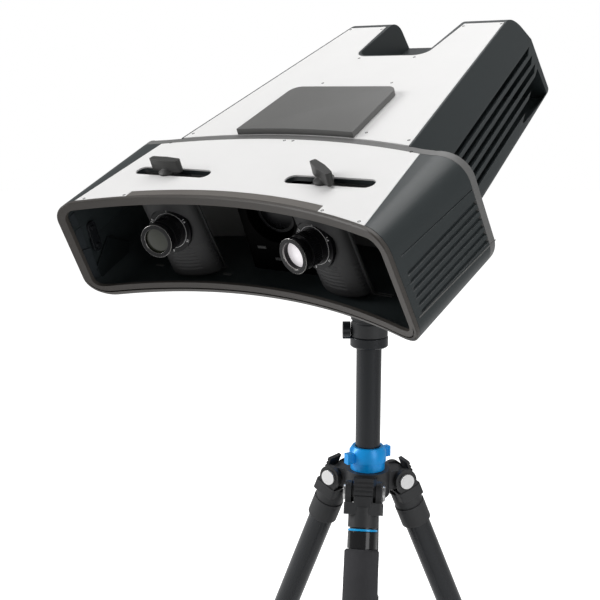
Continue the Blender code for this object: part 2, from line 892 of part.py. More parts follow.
def make_lens(name, lens):
    """Barrel with its flange and scale, focus ring and front glass, along its own axis."""
    ring_top = -focus_ring_setback
    ring_low = ring_top - focus_ring_width
    flange_top = -lens_flange_setback
    flange_low = flange_top - lens_flange_depth
    barrel = [
        (lens_mouth_radius, 0.0), (lens_radius, 0.0), (lens_radius, -lens_front_ring),
        (lens_barrel_radius, -lens_front_ring), (focus_seat_radius, ring_top + gap),
        (focus_seat_radius, ring_low - gap), (lens_radius, ring_low - gap),
        (lens_radius, flange_top), (lens_flange_radius, flange_top),
        (lens_flange_radius, flange_low), (lens_barrel_radius, flange_low),
        (lens_barrel_radius, -lens_length), (0.0, -lens_length)]
    mouth = [(0.0, -lens_mouth_depth), (lens_mouth_radius, -lens_mouth_depth)]
    turned(name + "_lens_barrel", mouth + barrel, lens, "lens_black")
    outline = []
    for i in range(focus_knurls * 2):
        angle = math.tau * i / (focus_knurls * 2)
        radius = focus_ring_radius - (focus_knurl_depth if i % 2 else 0.0)
        outline.append((radius * math.cos(angle), radius * math.sin(angle)))
    hole = round_hole((0, 0), focus_seat_radius + gap, round_steps)
    piece(name + "_focus_ring", slab_mesh([outline, hole], ring_low, ring_top), lens, "lens_black")
    floor = gap - lens_mouth_depth
    dome = floor + glass_thickness
    turned(name + "_lens_glass", [
        (0.0, dome + glass_dome), (glass_radius / 2, dome + glass_dome * 3 / 4),
        (glass_radius, dome), (glass_radius, floor), (0.0, floor)], lens, "lens_glass")


def make_lever(name, slide, turn, roof):
    """The wing lever that clamps a pod through its slot."""
    hub = frame(name + "_lever_axis", slide, (0, 0, 0), (0, 0, turn))
    lever = turned(name + "_lock_lever", [
        (0.0, wing_lift + overrun / 2), (lever_disc_radius / 2, wing_lift + overrun / 2),
        (lever_disc_radius, wing_lift), (lever_disc_radius, gap), (stud_radius, gap),
        (stud_radius, roof - stud_length), (0.0, roof - stud_length)], hub, "panel_grey",
        steps=small_steps)
    half = wing_length / 2
    end = wing_thickness * wing_end_share / 2
    waist = wing_thickness / 2
    outline = rounded_outline(
        [(-half, -end), (0.0, -waist), (half, -end), (half, end), (0.0, waist), (-half, end)],
        [end * wing_end_share, 0, end * wing_end_share, end * wing_end_share, 0, end * wing_end_share], 3)
    wing = tool(name + "_wing", slab_mesh([outline], wing_lift, wing_lift + wing_height), hub)
    join(lever, wing)


def make_projector():
    """The projector's dark housing behind the cameras' path, and its lens."""
    floor = beam_wall + gap - beam_height
    low = (-projector_half_width, projector_front, floor)
    high = (projector_half_width, projector_back, -projector_top)
    housing = piece("projector_housing", box_mesh(low, high, projector_corner), scanner_frame,
                    "dark_shell")
    middle = -projector_height
    bore_end = projector_front + projector_bore_depth
    cut(housing, tool("projector_bore", rod_mesh(
        (0, projector_front - overrun, middle), (0, bore_end, middle), projector_bore), scanner_frame))
    lens = frame("projector_lens_axis", scanner_frame, (0, bore_end - gap, middle), (math.pi / 2, 0, 0))
    face = projector_lens_radius - projector_rim
    turned("projector_lens", [
        (0.0, projector_lens_length), (face, projector_lens_length - projector_dish),
        (face, projector_lens_length), (projector_lens_radius, projector_lens_length),
        (projector_lens_radius, 0.0), (0.0, 0.0)], lens, "lens_black")


def make_side_plate():
    """The adjustment plate and its two pins on the left inner wall."""
    share = side_plate_setback / beam_depth
    wide, height, out, rise = beam_half_outline(share)[2](-side_plate_drop)
    spread = beam_half_outline(1.0)[2](-side_plate_drop)[0] - wide
    turn = math.atan2(spread, beam_depth * (1 - share))
    wall = beam_wall + plate_thickness + gap * 2
    place = beam_point(out * wall - wide, height - rise * wall, share)
    seat = frame("side_plate_seat", scanner_frame, place,
                 (0, math.pi / 2 + math.atan2(rise, out), turn))
    outline = stadium((0, 0), side_plate_length, side_plate_width)
    plate = piece("left_adjust_plate", slab_mesh([outline], 0.0, side_plate_thickness), seat,
                  "satin_black")
    for end in (-1, 1):
        pin_place = end * side_pin_spacing / 2
        pin = tool("adjust_pin", rod_mesh(
            (pin_place, 0, side_plate_thickness / 2),
            (pin_place, 0, side_plate_thickness + side_pin_height), side_pin_radius,
            steps=small_steps), seat)
        join(plate, pin)


def rear_half(back):
    """Half width of the rear white plate at a distance behind the beam's front edge."""
    return rear_plate_half - rear_taper * (back - rear_plate_start)


def rear_halves(back, wall):
    """Right halves of the rear housing's section, roof and floor, each from its middle to the side."""
    edge = rear_half(back) + rear_rim - wall
    shoulder = (edge + rear_chamfer[0], -rear_chamfer[1])
    foot = (shoulder[0] + rear_flare, wall - rear_height)
    corner = rounded_outline([shoulder, foot, (0.0, foot[1])], [0, rear_bottom_corner, 0])[1:-1]
    side = [(blend((shoulder[0], corner[0][0]), i / corner_steps),
             blend((shoulder[1], corner[0][1]), i / corner_steps)) for i in range(corner_steps)]
    roof = [(edge * i / arch_steps, -wall) for i in range(arch_steps + 1)] + side
    floor = [(corner[-1][0] * i / arch_steps, foot[1]) for i in range(arch_steps)] + corner[::-1]
    return roof, floor


def rear_station(back, wall=0.0, slope=0.0, setback=gap):
    """Roof and floor rows of the rear housing; with no distance they follow the back of the beam."""
    rows = []
    for half in rear_halves(rear_plate_start if back is None else back, wall):
        row = [(-u, w) for u, w in half[1:]][::-1] + half
        placed = []
        for u, w in row:
            if back is None:
                placed.append((u, beam_front_edge(u, 1.0) + setback, w))
            else:
                placed.append((u, back - slope * w / rear_height, w))
        rows.append(placed)
    return rows


def rear_plate_outline(grow):
    """Plan of the rear white plate, grown by a clearance."""
    back = rear_plate_end + grow
    front_half = rear_half(rear_plate_start) + grow
    row = [(x, beam_front_edge(x, 1.0) + gap * 2 - grow * 4)
           for x in (front_half * (2 * i / (arch_steps * 2) - 1) for i in range(arch_steps * 2 + 1))]
    notch = [(notch_half[1] + notch_rim - grow, back), (notch_half[0] + notch_rim - grow,
                                                       notch_front - notch_rim + grow)]
    notch += [(-x, y) for x, y in notch[::-1]]
    rim = rear_half(back) + grow
    cut_out = rounded_outline(
        [(rim, back), *notch, (-rim, back)], [0, 0, notch_corner, notch_corner, 0, 0])
    return row + cut_out


def notch_outline(grow, reach):
    """Plan of the open recess at the rear, grown for its walls."""
    wide = notch_half[1] + grow
    corners = [(wide, reach), (notch_half[0] + grow, notch_front - grow),
               (-notch_half[0] - grow, notch_front - grow), (-wide, reach)]
    return rounded_outline(corners, [0, notch_corner, notch_corner, 0])


def mount_seat(grow):
    """The block that clears the mounting plate under the rear housing."""
    half = mount_recess_half + grow
    return box_mesh((-half, mount_forward - half, -rear_height - overrun),
                    (half, mount_forward + half, mount_recess + grow - rear_height))


def make_rear_body():
    """The hollow rear housing with its chamfers, louvres, rounded tail and top recess."""
    body = piece("rear_body", strip_mesh([rear_station(None), rear_station(rear_round_start),
                                          rear_station(rear_length)]), scanner_frame, "dark_shell")
    cavity_end = rear_cavity_end - rear_cavity_slope
    cavity = tool("rear_cavity", strip_mesh([
        rear_station(None, rear_wall, setback=-overrun),
        rear_station(cavity_end, rear_wall, rear_cavity_slope)]), scanner_frame)
    reach = rear_length + overrun
    cut(cavity, tool("notch_walls", slab_mesh(
        [notch_outline(rear_wall, reach)], -notch_depth - rear_wall, overrun), scanner_frame))
    cut(cavity, tool("seat_walls", mount_seat(rear_wall), scanner_frame))
    notch = tool("notch", slab_mesh([notch_outline(0.0, reach)], -notch_depth, overrun), scanner_frame)
    tail = rounded_outline(
        [(0.0, 0.0), (rear_length - rear_tail_lean, 0.0), (rear_length, -rear_height),
         (0.0, -rear_height)], [0, rear_round, rear_tail_corner, 0], corner_steps * 2)[1:-1]
    under = -rear_height - overrun
    tail += [(tail[-1][0], under), (reach, under), (reach, overrun), (tail[0][0], overrun)]
    wide = rear_plate_half + rear_chamfer[0] + rear_flare
    tail_cutter = tool("tail_round", slab_mesh([tail], -wide, wide), scanner_frame,
                       rotation=(math.pi / 2, 0, math.pi / 2))
    pocket = tool("rear_plate_pocket", slab_mesh(
        [rear_plate_outline(gap)], -plate_thickness - gap, overrun), scanner_frame)
    cut(body, cavity, notch, tail_cutter, pocket, tool("mount_seat", mount_seat(0.0), scanner_frame))
    for side, name in ((-1, "left"), (1, "right")):
        cut(body, louvre_cutter(side, name))
    piece("rear_top_plate", slab_mesh([rear_plate_outline(0.0)], -plate_thickness, 0.0),
          scanner_frame, "white_plate")


def louvre_cutter(side, name):
    """Long slanted-ended slots down one flank of the rear housing."""
    lean = math.atan2(rear_flare, rear_height - rear_chamfer[1])
    work = bmesh.new()
    for i in range(louvre_count):
        top = -(louvre_top + louvre_pitch * i)
        low = top - louvre_height
        end = louvre_back + louvre_step * i
        outline = [(louvre_front, top), (end, top), (end - louvre_slant, low),
                   (louvre_front, low)]
        rings = []
        for depth in (-louvre_depth, overrun):
            ring = []
            for back, height in outline:
                wall = rear_half(back) + rear_rim + rear_chamfer[0]
                out = wall - (height + rear_chamfer[1]) * math.tan(lean) + depth
                ring.append((side * out, back, height))
            rings.append(ring)
        solid = ring_mesh(rings)
        work.from_mesh(solid)
        bpy.data.meshes.remove(solid)
    return tool(name + "_louvres", mesh_from(work), scanner_frame)


def make_raised_panel():
    """The raised panel on the rear plate, against the back of the beam."""
    front_half, back_half = panel_half
    row = [(x, beam_front_edge(x, 1.0) + gap * 2)
           for x in (front_half * (2 * i / arch_steps - 1) for i in range(arch_steps + 1))]
    corners = rounded_outline(
        [row[-1], (back_half, panel_back), (-back_half, panel_back), row[0]],
        [0, panel_corner, panel_corner, 0])
    outline = row[1:-1] + corners
    panel = piece("raised_panel", slab_mesh([outline], gap, gap + panel_height), scanner_frame,
                  "panel_grey")
    soft = panel.modifiers.new("edge", "BEVEL")
    soft.width = panel_bevel
    soft.segments = 2
    soft.limit_method = "ANGLE"


def knob_outline(radius, steps_per_lobe=3):
    """A grip outline with shallow lobes."""
    count = knob_lobes * steps_per_lobe
    made = []
    for i in range(count):
        angle = math.tau * i / count
        reach = radius - knob_lobe_depth * (1 + math.cos(angle * knob_lobes)) / 2
        made.append((reach * math.cos(angle), reach * math.sin(angle)))
    return made


def make_knob(name, parent, radius, length, stem_radius, stem_length, location, rotation):
    """A lobed knob on a stem, its axis along local Z away from its seat."""
    axis = frame(name + "_axis", parent, location, rotation)
    knob = piece(name, slab_mesh([knob_outline(radius)], 0.0, length), axis, "satin_black")
    stem = tool(name + "_stem", rod_mesh((0, 0, -stem_length), (0, 0, length / 2), stem_radius,
                                         steps=small_steps), axis)
    join(knob, stem)


def make_head():
    """The three-way head between the column and the scanner."""
    groove = head_base_radius - head_base_groove
    middle = head_base_height / 2 + pan_knob_radius / 2
    base = turned("head_base", [
        (0.0, head_base_height), (head_base_radius, head_base_height),
        (head_base_radius, middle + head_base_groove * 2), (groove, middle + head_base_groove),
        (groove, middle), (head_base_radius, middle - head_base_groove), (head_base_radius, gap),
        (0.0, gap)], pan_axis, "cast_black")
    out = Vector((math.sin(pan_knob_azimuth), -math.cos(pan_knob_azimuth), 0))
    knob_height = Vector((0, 0, pan_knob_height))
    seat = head_base_radius + running_gap
    cut(base, tool("pan_knob_hole", bore_mesh(
        out * (seat - knob_stem_length - gap) + knob_height, out * (seat + overrun) + knob_height,
        knob_stem_radius / 2 + gap, small_steps), pan_axis))
    make_knob("pan_lock_knob", pan_axis, pan_knob_radius, pan_knob_length, knob_stem_radius / 2,
              knob_stem_length, out * seat + knob_height,
              (math.pi / 2, 0, pan_knob_azimuth))
    make_pan_body()
    make_tilt_body()
    make_side_cradle()


def make_pan_body():
    low = head_base_height + running_gap - tilt_axis_height
    level = frame("pan_body_level", pan_axis, (0, 0, tilt_axis_height))
    body = turned("pan_body", [
        (0.0, low + pan_disc_height), (pan_neck_radius, low + pan_disc_height),
        (pan_neck_radius, low), (0.0, low)], level, "cast_black")
    half = pan_pillar[0] / 2
    outline = arch_outline(pan_pillar[1] / 2, tilt_barrel_radius, low + pan_disc_height / 2)
    join(body, tool("pan_pillar", across_mesh([outline], -half, half), level))


def make_tilt_body():
    """Two cheeks on the pan barrel, a bridge over it and the side-tilt barrel."""
    inner = pan_pillar[0] / 2 + running_gap
    outer = inner + tilt_cheek
    body = piece("tilt_body", box_mesh((-outer, -tilt_bridge_half, tilt_bridge[0]),
                                       (outer, tilt_bridge_half, tilt_bridge[1])), tilt_axis,
                 "cast_black")
    foot = (tilt_bridge[0] + tilt_bridge[1]) / 2
    outline = arch_outline(tilt_bridge_half * tilt_web_share, tilt_barrel_radius, foot)
    for side in (-1, 1):
        near, far = sorted((side * inner, side * (outer - tilt_cheek_step)))
        join(body, tool("tilt_cheek", across_mesh([outline], near, far), tilt_axis))
    half = side_barrel_length / 2
    join(body, tool("side_barrel", rod_mesh(
        (0, -half, side_axis_height), (0, half, side_axis_height), side_barrel_radius), tilt_axis))
    outer -= tilt_cheek_step
    hole_end = outer - knob_stem_length - gap
    cut(body, tool("tilt_knob_hole", bore_mesh(
        (hole_end, 0, 0), (outer + overrun, 0, 0), knob_stem_radius + gap, small_steps), tilt_axis))
    make_knob("tilt_lock_knob", tilt_axis, knob_radius, knob_length, knob_stem_radius,
              knob_stem_length, (outer + running_gap, 0, 0), (0, math.pi / 2, 0))


def make_side_cradle():
    """Two cheeks on the side barrel and the platform for the mounting plate."""
    inner = side_barrel_length / 2 + running_gap
    outer = inner + side_cheek
    low = side_platform[0] - side_axis_height
    high = side_platform[1] - side_axis_height
    cradle = piece("side_tilt_cradle", box_mesh(
        (-side_platform_half, -outer, low), (side_platform_half, outer, high)), side_axis, "cast_black")
    outline = arch_outline(side_barrel_radius * side_web_share, side_barrel_radius, (low + high) / 2)
    for side in (-1, 1):
        near, far = sorted((side * inner, side * (outer - tilt_cheek_step)))
        join(cradle, tool("side_cheek", along_mesh([outline], near, far), side_axis))
    outer -= tilt_cheek_step
    cut(cradle, tool("side_knob_hole", bore_mesh(
        (0, outer - knob_stem_length - gap, 0), (0, outer + overrun, 0), knob_stem_radius + gap,
        small_steps), side_axis))
    make_knob("side_lock_knob", side_axis, knob_radius, knob_length, knob_stem_radius,
              knob_stem_length, (0, outer + running_gap, 0), (-math.pi / 2, 0, 0))
    width, depth, thick = mount_plate
    top = underside_height - side_axis_height - gap
    piece("mounting_plate", box_mesh((-width / 2, -depth / 2, high + gap), (width / 2, depth / 2, top),
                                     mount_plate_corner), side_axis, "satin_black")


def make_column():
    """Centre column with its top plate, bag hook and twist collar."""
    inner = column_radius - column_wall
    foot = column_top - column_length
    turned("column_tube", tube_profile(inner, column_radius, column_top - gap, foot), column_axis,
           "satin_black", closed=True)
    edge = column_plate_edge
    plate_top = column_top + column_plate_height
    turned("column_top_plate", [
        (0.0, plate_top), (column_plate_radius - edge, plate_top),
        (column_plate_radius, plate_top - edge),
        (column_plate_radius, column_top + edge), (column_plate_radius - edge, column_top),
        (inner - gap, column_top), (inner - gap, column_top - column_plug_depth),
        (0.0, column_top - column_plug_depth)], column_axis, "satin_black")
    hook = turned("column_hook", [
        (0.0, foot + column_plug_depth), (inner - gap, foot + column_plug_depth),
        (inner - gap, foot - gap), (hook_disc_radius, foot - gap),
        (hook_disc_radius, foot - hook_disc_height), (0.0, foot - hook_disc_height)], column_axis,
        "cast_black", steps=small_steps)
    ring = bpy.data.curves.new("hook_ring", "CURVE")
    ring.dimensions = "3D"
    ring.bevel_depth = hook_wire
    ring.bevel_resolution = 1
    ring.use_fill_caps = True
    spline = ring.splines.new("POLY")
    centre = (0.0, foot - hook_disc_height - hook_ring_radius + hook_wire)
    points = arc_points(centre, hook_ring_radius, 0, math.tau, small_steps)[:-1]
    spline.points.add(len(points) - 1)
    spline.use_cyclic_u = True
    for point, (x, z) in zip(spline.points, points):
        point.co = (x, 0, z, 1)
    holder = bpy.data.objects.new("hook_ring", ring)
    cutter_collection.objects.link(holder)
    graph = bpy.context.evaluated_depsgraph_get()
    mesh = bpy.data.meshes.new_from_object(holder.evaluated_get(graph))
    bpy.data.objects.remove(holder, do_unlink=True)
    join(hook, tool("hook_eye", mesh, column_axis))
    make_collar()


def make_collar():
    bore = column_radius + running_gap
    collar = turned("column_collar", [
        (collar_top_radius, collar_top), (collar_radius, collar_shoulder),
        (collar_radius, collar_foot), (collar_foot_radius, collar_foot),
        (collar_foot_radius, collar_bottom), (bore, collar_bottom), (bore, collar_top)],
        spider_frame, "blue_anodised", closed=True)
    thick, deep, tall = collar_lug
    for side in (-1, 1):
        lug = box_mesh((side * collar_lug_reach - thick / 2, -deep / 2, collar_foot),
                       (side * collar_lug_reach + thick / 2, deep / 2, collar_foot + tall))
        join(collar, tool("collar_lug", lug, spider_frame, rotation=(0, 0, collar_lug_azimuth)))


def make_spider():
    """The apex casting with three arms and a bore for the column."""
    bore = column_radius + running_gap
    spider = turned("spider", [
        (spider_hub_radius, spider_top), (spider_hub_radius, spider_bottom),
        (bore, spider_bottom), (bore, spider_top)], spider_frame, "cast_black", closed=True)
    for i, azimuth in enumerate(leg_azimuths):
        heading = (0, 0, math.pi + azimuth)
        eye = arc_points((pivot_radius, 0), arm_eye_radius, math.pi / 2 - arm_lean,
                         -math.pi / 2 - arm_lean, small_steps)
        root = bore + column_wall
        outline = [(root, arm_top)] + eye + [(root, -arm_root_drop)]
        bolt_way = round_hole((pivot_radius, 0), bolt_shank + gap)
        arm = across_mesh([outline, bolt_way], -arm_half_width, arm_half_width)
        join(spider, tool("arm_%d" % (i + 1), arm, spider_frame, rotation=heading))


def make_leg(index, azimuth):
    """One leg: casting, bolt, angle tab, three tubes, two twist locks and the rubber foot."""
    number = "_%d" % index
    heading = frame("leg_heading" + number, spider_frame, (0, 0, 0), (0, 0, math.pi + azimuth))
    leg = frame("leg_axis" + number, heading, (0, pivot_radius, 0), (leg_splay, 0, 0))
    make_casting(number, leg, sleeve_end[0] if index == 1 else sleeve_end[1])
    make_leg_tubes(number, leg, index == 1)


def make_casting(number, leg, end):
    """A leg's forked casting with its pivot bolt and angle tab."""
    inner = arm_half_width + running_gap
    outer = inner + cheek_thickness
    deep = casting_half_depth
    wide = outer + casting_shoulder
    casting = piece("leg_casting" + number, box_mesh(
        (-wide, -casting_inner_depth, -casting_bottom), (wide, deep, -arm_eye_radius - gap * 2),
        casting_corner), leg, "cast_black")
    outline = arch_outline(cheek_radius * web_share, cheek_radius, -casting_bottom * 2 / 3)
    pivot_way = round_hole((0, 0), bolt_shank + gap)
    for side in (-1, 1):
        near, far = sorted((side * inner, side * outer))
        join(casting, tool("ear", across_mesh([outline, pivot_way], near, far), leg))
    join(casting, tool("neck" + number, rod_mesh(
        (0, 0, -casting_bottom * 2 / 3), (0, 0, -min(end, sleeve_step)), sleeve_radius[0],
        steps=leg_steps), leg))
    if end > sleeve_step + overrun:
        join(casting, tool("sleeve" + number, rod_mesh(
            (0, 0, -sleeve_step + gap), (0, 0, -end), sleeve_radius[1], steps=leg_steps), leg))
    cut(casting, tool("tube_socket" + number, bore_mesh(
        (0, 0, -socket_start), (0, 0, -end - overrun), upper_tube_radius + gap, leg_steps), leg))
    bolt = piece("pivot_bolt" + number, rod_mesh(
        (-outer - running_gap, 0, 0), (outer + running_gap, 0, 0), bolt_shank, steps=small_steps), leg,
        "bright_steel")
    for side in (-1, 1):
        near = side * (outer + gap)
        join(bolt, tool("bolt_head", rod_mesh((near, 0, 0), (near + side * bolt_head, 0, 0),
                                              bolt_radius, steps=small_steps), leg))
    join(casting, tool("tab_rest" + number, box_mesh(
        (-tab_half_width, tab_seat, -casting_bottom * 2 / 3),
        (tab_half_width, deep - casting_shoulder, -tab_drop - gap)), leg))
    catch = frame("tab_seat" + number, leg, (0, tab_seat, -tab_drop))
    tab = piece("angle_tab" + number, box_mesh(
        (-tab_half_width, 0, 0), (tab_half_width, tab_thickness, tab_height)), catch, "cast_black")
    pitch = tab_height / (tab_rib_count + 1)
    for i in range(tab_rib_count):
        place = pitch * (i + 1)
        groove = box_mesh((-tab_half_width - overrun, tab_thickness - tab_rib_depth, place - pitch / 4),
                          (tab_half_width + overrun, tab_thickness + overrun, place + pitch / 4))
        cut(tab, tool("tab_groove", groove, catch))


def make_lock(name, leg, radius, outer_tube, inner_tube, lap, end):
    """A twist lock round a tube's end, necked to the next tube."""
    top = -(end - lap)
    low = -(end + lock_overhang / 2)
    step = -(end + gap)
    turned(name, [
        (radius, top), (radius, low + lock_edge), (radius - lock_edge, low),
        (inner_tube + running_gap, low), (inner_tube + running_gap, step),
        (outer_tube + running_gap, step), (outer_tube + running_gap, top)], leg, "rubber_black",
        steps=leg_steps, closed=True)


def make_leg_tubes(number, leg, has_grip):
    """The nested leg tubes, pushed in, with their locks."""
    top = -(socket_start + gap)
    bore = upper_tube_radius - tube_wall
    profile = tube_profile(bore, upper_tube_radius, top, -upper_tube_end)
    if has_grip:
        collar_top_height, collar_low_height = (-height for height in leg_collar)
        band_height = collar_top_height - leg_collar_band
        groove_radius = leg_collar_radius - leg_collar_groove
        profile = [
            (upper_tube_radius, top), (upper_tube_radius, collar_top_height),
            (leg_collar_radius, collar_top_height), (leg_collar_radius, band_height),
            (groove_radius, band_height - leg_collar_groove / 2),
            (leg_collar_radius, band_height - leg_collar_groove),
            (leg_collar_radius, collar_low_height),
            (upper_tube_radius, collar_low_height), (upper_tube_radius, -upper_tube_end),
            (bore, -upper_tube_end), (bore, top)]
    turned("upper_leg_tube" + number, profile, leg, "satin_black", leg_steps, closed=True)
    turned("middle_leg_tube" + number, tube_profile(
        middle_tube_radius - tube_wall, middle_tube_radius, -middle_tube_start, -middle_tube_end), leg,
        "satin_black", leg_steps, closed=True)
    make_lock("upper_twist_lock" + number, leg, lock_radius[0], upper_tube_radius,
              middle_tube_radius, lock_lap, upper_tube_end)
    make_lock("lower_twist_lock" + number, leg, lock_radius[1], middle_tube_radius,
              lower_tube_radius, lock_lap_short, middle_tube_end)
    ball = arc_points((0.0, -foot_centre), foot_radius, math.pi / 4, -math.pi / 2, corner_steps + 1)
    foot = turned("lower_leg_tube" + number, [
        (0.0, -lower_tube_start), (lower_tube_radius, -lower_tube_start),
        (lower_tube_radius, -foot_top - gap), (foot_neck_radius, -foot_top - gap)] + ball[:-1]
        + [(0.0, ball[-1][1])], leg, "satin_black", leg_steps)
    cut(foot, floor_cutter)
    if has_grip:
        soft = foam_edge
        start, end = (-height for height in foam)
        turned("foam_grip", [
            (foam_radius - soft, start), (foam_radius, start - soft), (foam_radius, end + soft),
            (foam_radius - soft, end), (upper_tube_radius + gap, end),
            (upper_tube_radius + gap, start)], leg, "foam_black", leg_steps, closed=True)


floor_reach = pivot_radius + foot_centre
floor_cutter = tool("floor", box_mesh((-floor_reach, -floor_reach, -foot_radius),
                                      (floor_reach, floor_reach, 0)), stand)


def settle():
    """Move the stand so the origin is at the bottom centre of the whole object."""
    bpy.context.view_layer.update()
    graph = bpy.context.evaluated_depsgraph_get()
    low = Vector((math.inf, math.inf, math.inf))
    high = -low
    for each in part_collection.objects:
        if each.type != "MESH":
            continue
        solid = each.evaluated_get(graph)
        for vertex in solid.to_mesh().vertices:
            place = solid.matrix_world @ vertex.co
            low = Vector(map(min, low, place))
            high = Vector(map(max, high, place))
        solid.to_mesh_clear()
    stand.location = (-(low.x + high.x) / 2, -(low.y + high.y) / 2, -low.z)
    bpy.context.view_layer.update()


make_beam()
make_pod(-1, "left", hub_left, lever_turn_left)
make_pod(1, "right", hub_right, lever_turn_right)
make_projector()
make_side_plate()
make_rear_body()
make_raised_panel()
make_head()
make_column()
make_spider()
for leg_number, leg_azimuth in enumerate(leg_azimuths, 1):
    make_leg(leg_number, leg_azimuth)
settle()
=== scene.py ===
"""Looks of the structured-light scanner on its three-way head and tripod.

Every shape that shows is made again here, finer than the solid that it stands for, in the
same frames and from the same named sizes, and gets its finish from node materials.
"""
import json
import math

import bmesh
import bpy
from mathutils import Matrix, Vector

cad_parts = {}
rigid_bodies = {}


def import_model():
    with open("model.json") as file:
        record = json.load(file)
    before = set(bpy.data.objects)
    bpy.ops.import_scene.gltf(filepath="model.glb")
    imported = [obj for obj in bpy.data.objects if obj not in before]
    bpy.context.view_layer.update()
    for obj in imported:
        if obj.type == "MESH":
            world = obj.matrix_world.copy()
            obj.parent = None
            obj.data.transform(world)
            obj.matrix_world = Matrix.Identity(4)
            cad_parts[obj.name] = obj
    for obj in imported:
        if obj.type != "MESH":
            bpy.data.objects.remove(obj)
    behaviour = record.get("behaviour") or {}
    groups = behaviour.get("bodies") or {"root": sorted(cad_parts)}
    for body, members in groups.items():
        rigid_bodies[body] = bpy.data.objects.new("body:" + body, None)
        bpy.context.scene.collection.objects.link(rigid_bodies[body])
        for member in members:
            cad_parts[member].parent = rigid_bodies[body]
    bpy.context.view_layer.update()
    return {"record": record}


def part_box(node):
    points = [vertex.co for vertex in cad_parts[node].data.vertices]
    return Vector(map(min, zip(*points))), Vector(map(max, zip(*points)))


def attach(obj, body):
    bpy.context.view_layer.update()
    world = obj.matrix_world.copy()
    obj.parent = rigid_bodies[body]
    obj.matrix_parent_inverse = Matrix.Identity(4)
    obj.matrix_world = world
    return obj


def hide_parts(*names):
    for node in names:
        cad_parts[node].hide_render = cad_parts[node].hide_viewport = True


frame_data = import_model()
record = frame_data["record"]
body_of_node = {node: body for body, nodes in record["behaviour"]["bodies"].items() for node in nodes}

# Clearances and cuts
gap = 0.0003
running_gap = 0.0005
overrun = 0.006
weld_distance = 0.00001

# Facet counts
round_steps = 64
leg_steps = 64
small_steps = 32
corner_steps = 12
arch_steps = 24
flat_shares = tuple(0.045 * i for i in range(21))
sharp_angle = math.radians(35)
round_profile = 0.5

# Front beam, the wide curved housing of the two cameras
beam_front_radius = 0.491
beam_depth = 0.125
beam_height = 0.1162
beam_top_half = (0.185, 0.190)
beam_end_start = 0.160
beam_end_slope = 0.467
beam_bottom_half = (0.194, 0.204)
beam_top_corner = (0.022, 0.030)
beam_bottom_corner = (0.024, 0.026)
beam_slant = 0.014
beam_wall = 0.004
beam_plate_half = (0.1635, 0.1490)
bezel_depth = 0.004
bezel_width = 0.0085
bezel_sill = 0.0055
bezel_edge = 0.0012
bezel_groove = 0.0030
bezel_lip = 0.0022
bezel_lip_share = 0.7
bezel_groove_shares = (0.41, 0.53)
cap_depth = 0.009
plate_thickness = 0.0015
panel_groove = 0.0015
panel_groove_height = (0.0265, 0.0330)
rib_pitch = 0.0076
rib_top_height = 0.0456
rib_count = 6
rib_groove_depth = 0.0026
rib_groove_half = 0.0022
rib_floor_half = 0.0012
rib_front_setback = 0.012
rib_ramp = 0.004
visor_half = 0.1087
visor_depth = 0.0133

# Lever slots in the top of the beam
slot_inner = 0.044
slot_outer = 0.136
slot_width = 0.015
slot_centre_share = 0.332
slot_centre = beam_depth * slot_centre_share

# Camera pods, their lenses and lock levers
hub_left = -0.095
hub_right = 0.085
pod_toe_in = math.radians(11.2)
pod_lean = math.radians(8.3)
pod_half_width = 0.0280
pod_bulge = 0.0140
pod_chord_setback = 0.0210
pod_side_depth = 0.0030
pod_plate_half_width = 0.0300
pod_plate_thickness = 0.0015
pod_height = 0.1080
pod_corner = 0.004
carriage_half_width = 0.019
carriage_back = 0.007
pod_rib_count = 8
pod_rib_pitch = 0.0042
pod_rib_depth = 0.0007
pod_rib_top = 0.069
stud_radius = 0.004
stud_length = 0.008
carriage_height = 0.024
lens_tip_forward = 0.0560
lens_tip_drop = 0.0441
lens_rise = math.radians(8.5)
lens_length = 0.0410
lens_radius = 0.0160
lens_barrel_radius = 0.0140
lens_flange_radius = 0.0225
lens_flange_depth = 0.0040
lens_flange_setback = 0.0265
lens_mouth_radius = 0.0125
mouth_depth = {"left": 0.0050, "right": 0.0085}
lens_front_ring = 0.0060
focus_ring_setback = 0.0105
focus_ring_width = 0.0100
focus_ring_radius = 0.0160
focus_knurls = 48
focus_knurl_depth = 0.0004
focus_seat_radius = 0.0125
glass_radius = 0.0120
glass_thickness = 0.0020
glass_dome = 0.0012
wing_length = 0.038
wing_height = 0.0120
wing_thickness = 0.0085
wing_lift = 0.0020
wing_end_share = 0.72
lever_disc_radius = 0.0095
lever_turn_left = math.radians(-4)
lever_turn_right = math.radians(-35)

# Projector between the cameras
projector_half_width = 0.040
projector_length = 0.052
projector_clearance = 0.008
projector_back = beam_depth - cap_depth - projector_clearance
projector_front = projector_back - projector_length
projector_top = 0.014
projector_corner = 0.006
projector_bore = 0.027
projector_bore_depth = 0.030
projector_height = 0.052
projector_lens_radius = 0.0215
projector_lens_length = 0.020
projector_rim = 0.003
projector_dish = 0.003

# Adjustment plate on the left inner wall
side_plate_length = 0.034
side_plate_width = 0.011
side_plate_thickness = 0.0022
side_plate_setback = 0.0255
side_plate_drop = 0.054
side_pin_radius = 0.0022
side_pin_height = 0.0016
side_pin_spacing = 0.0205

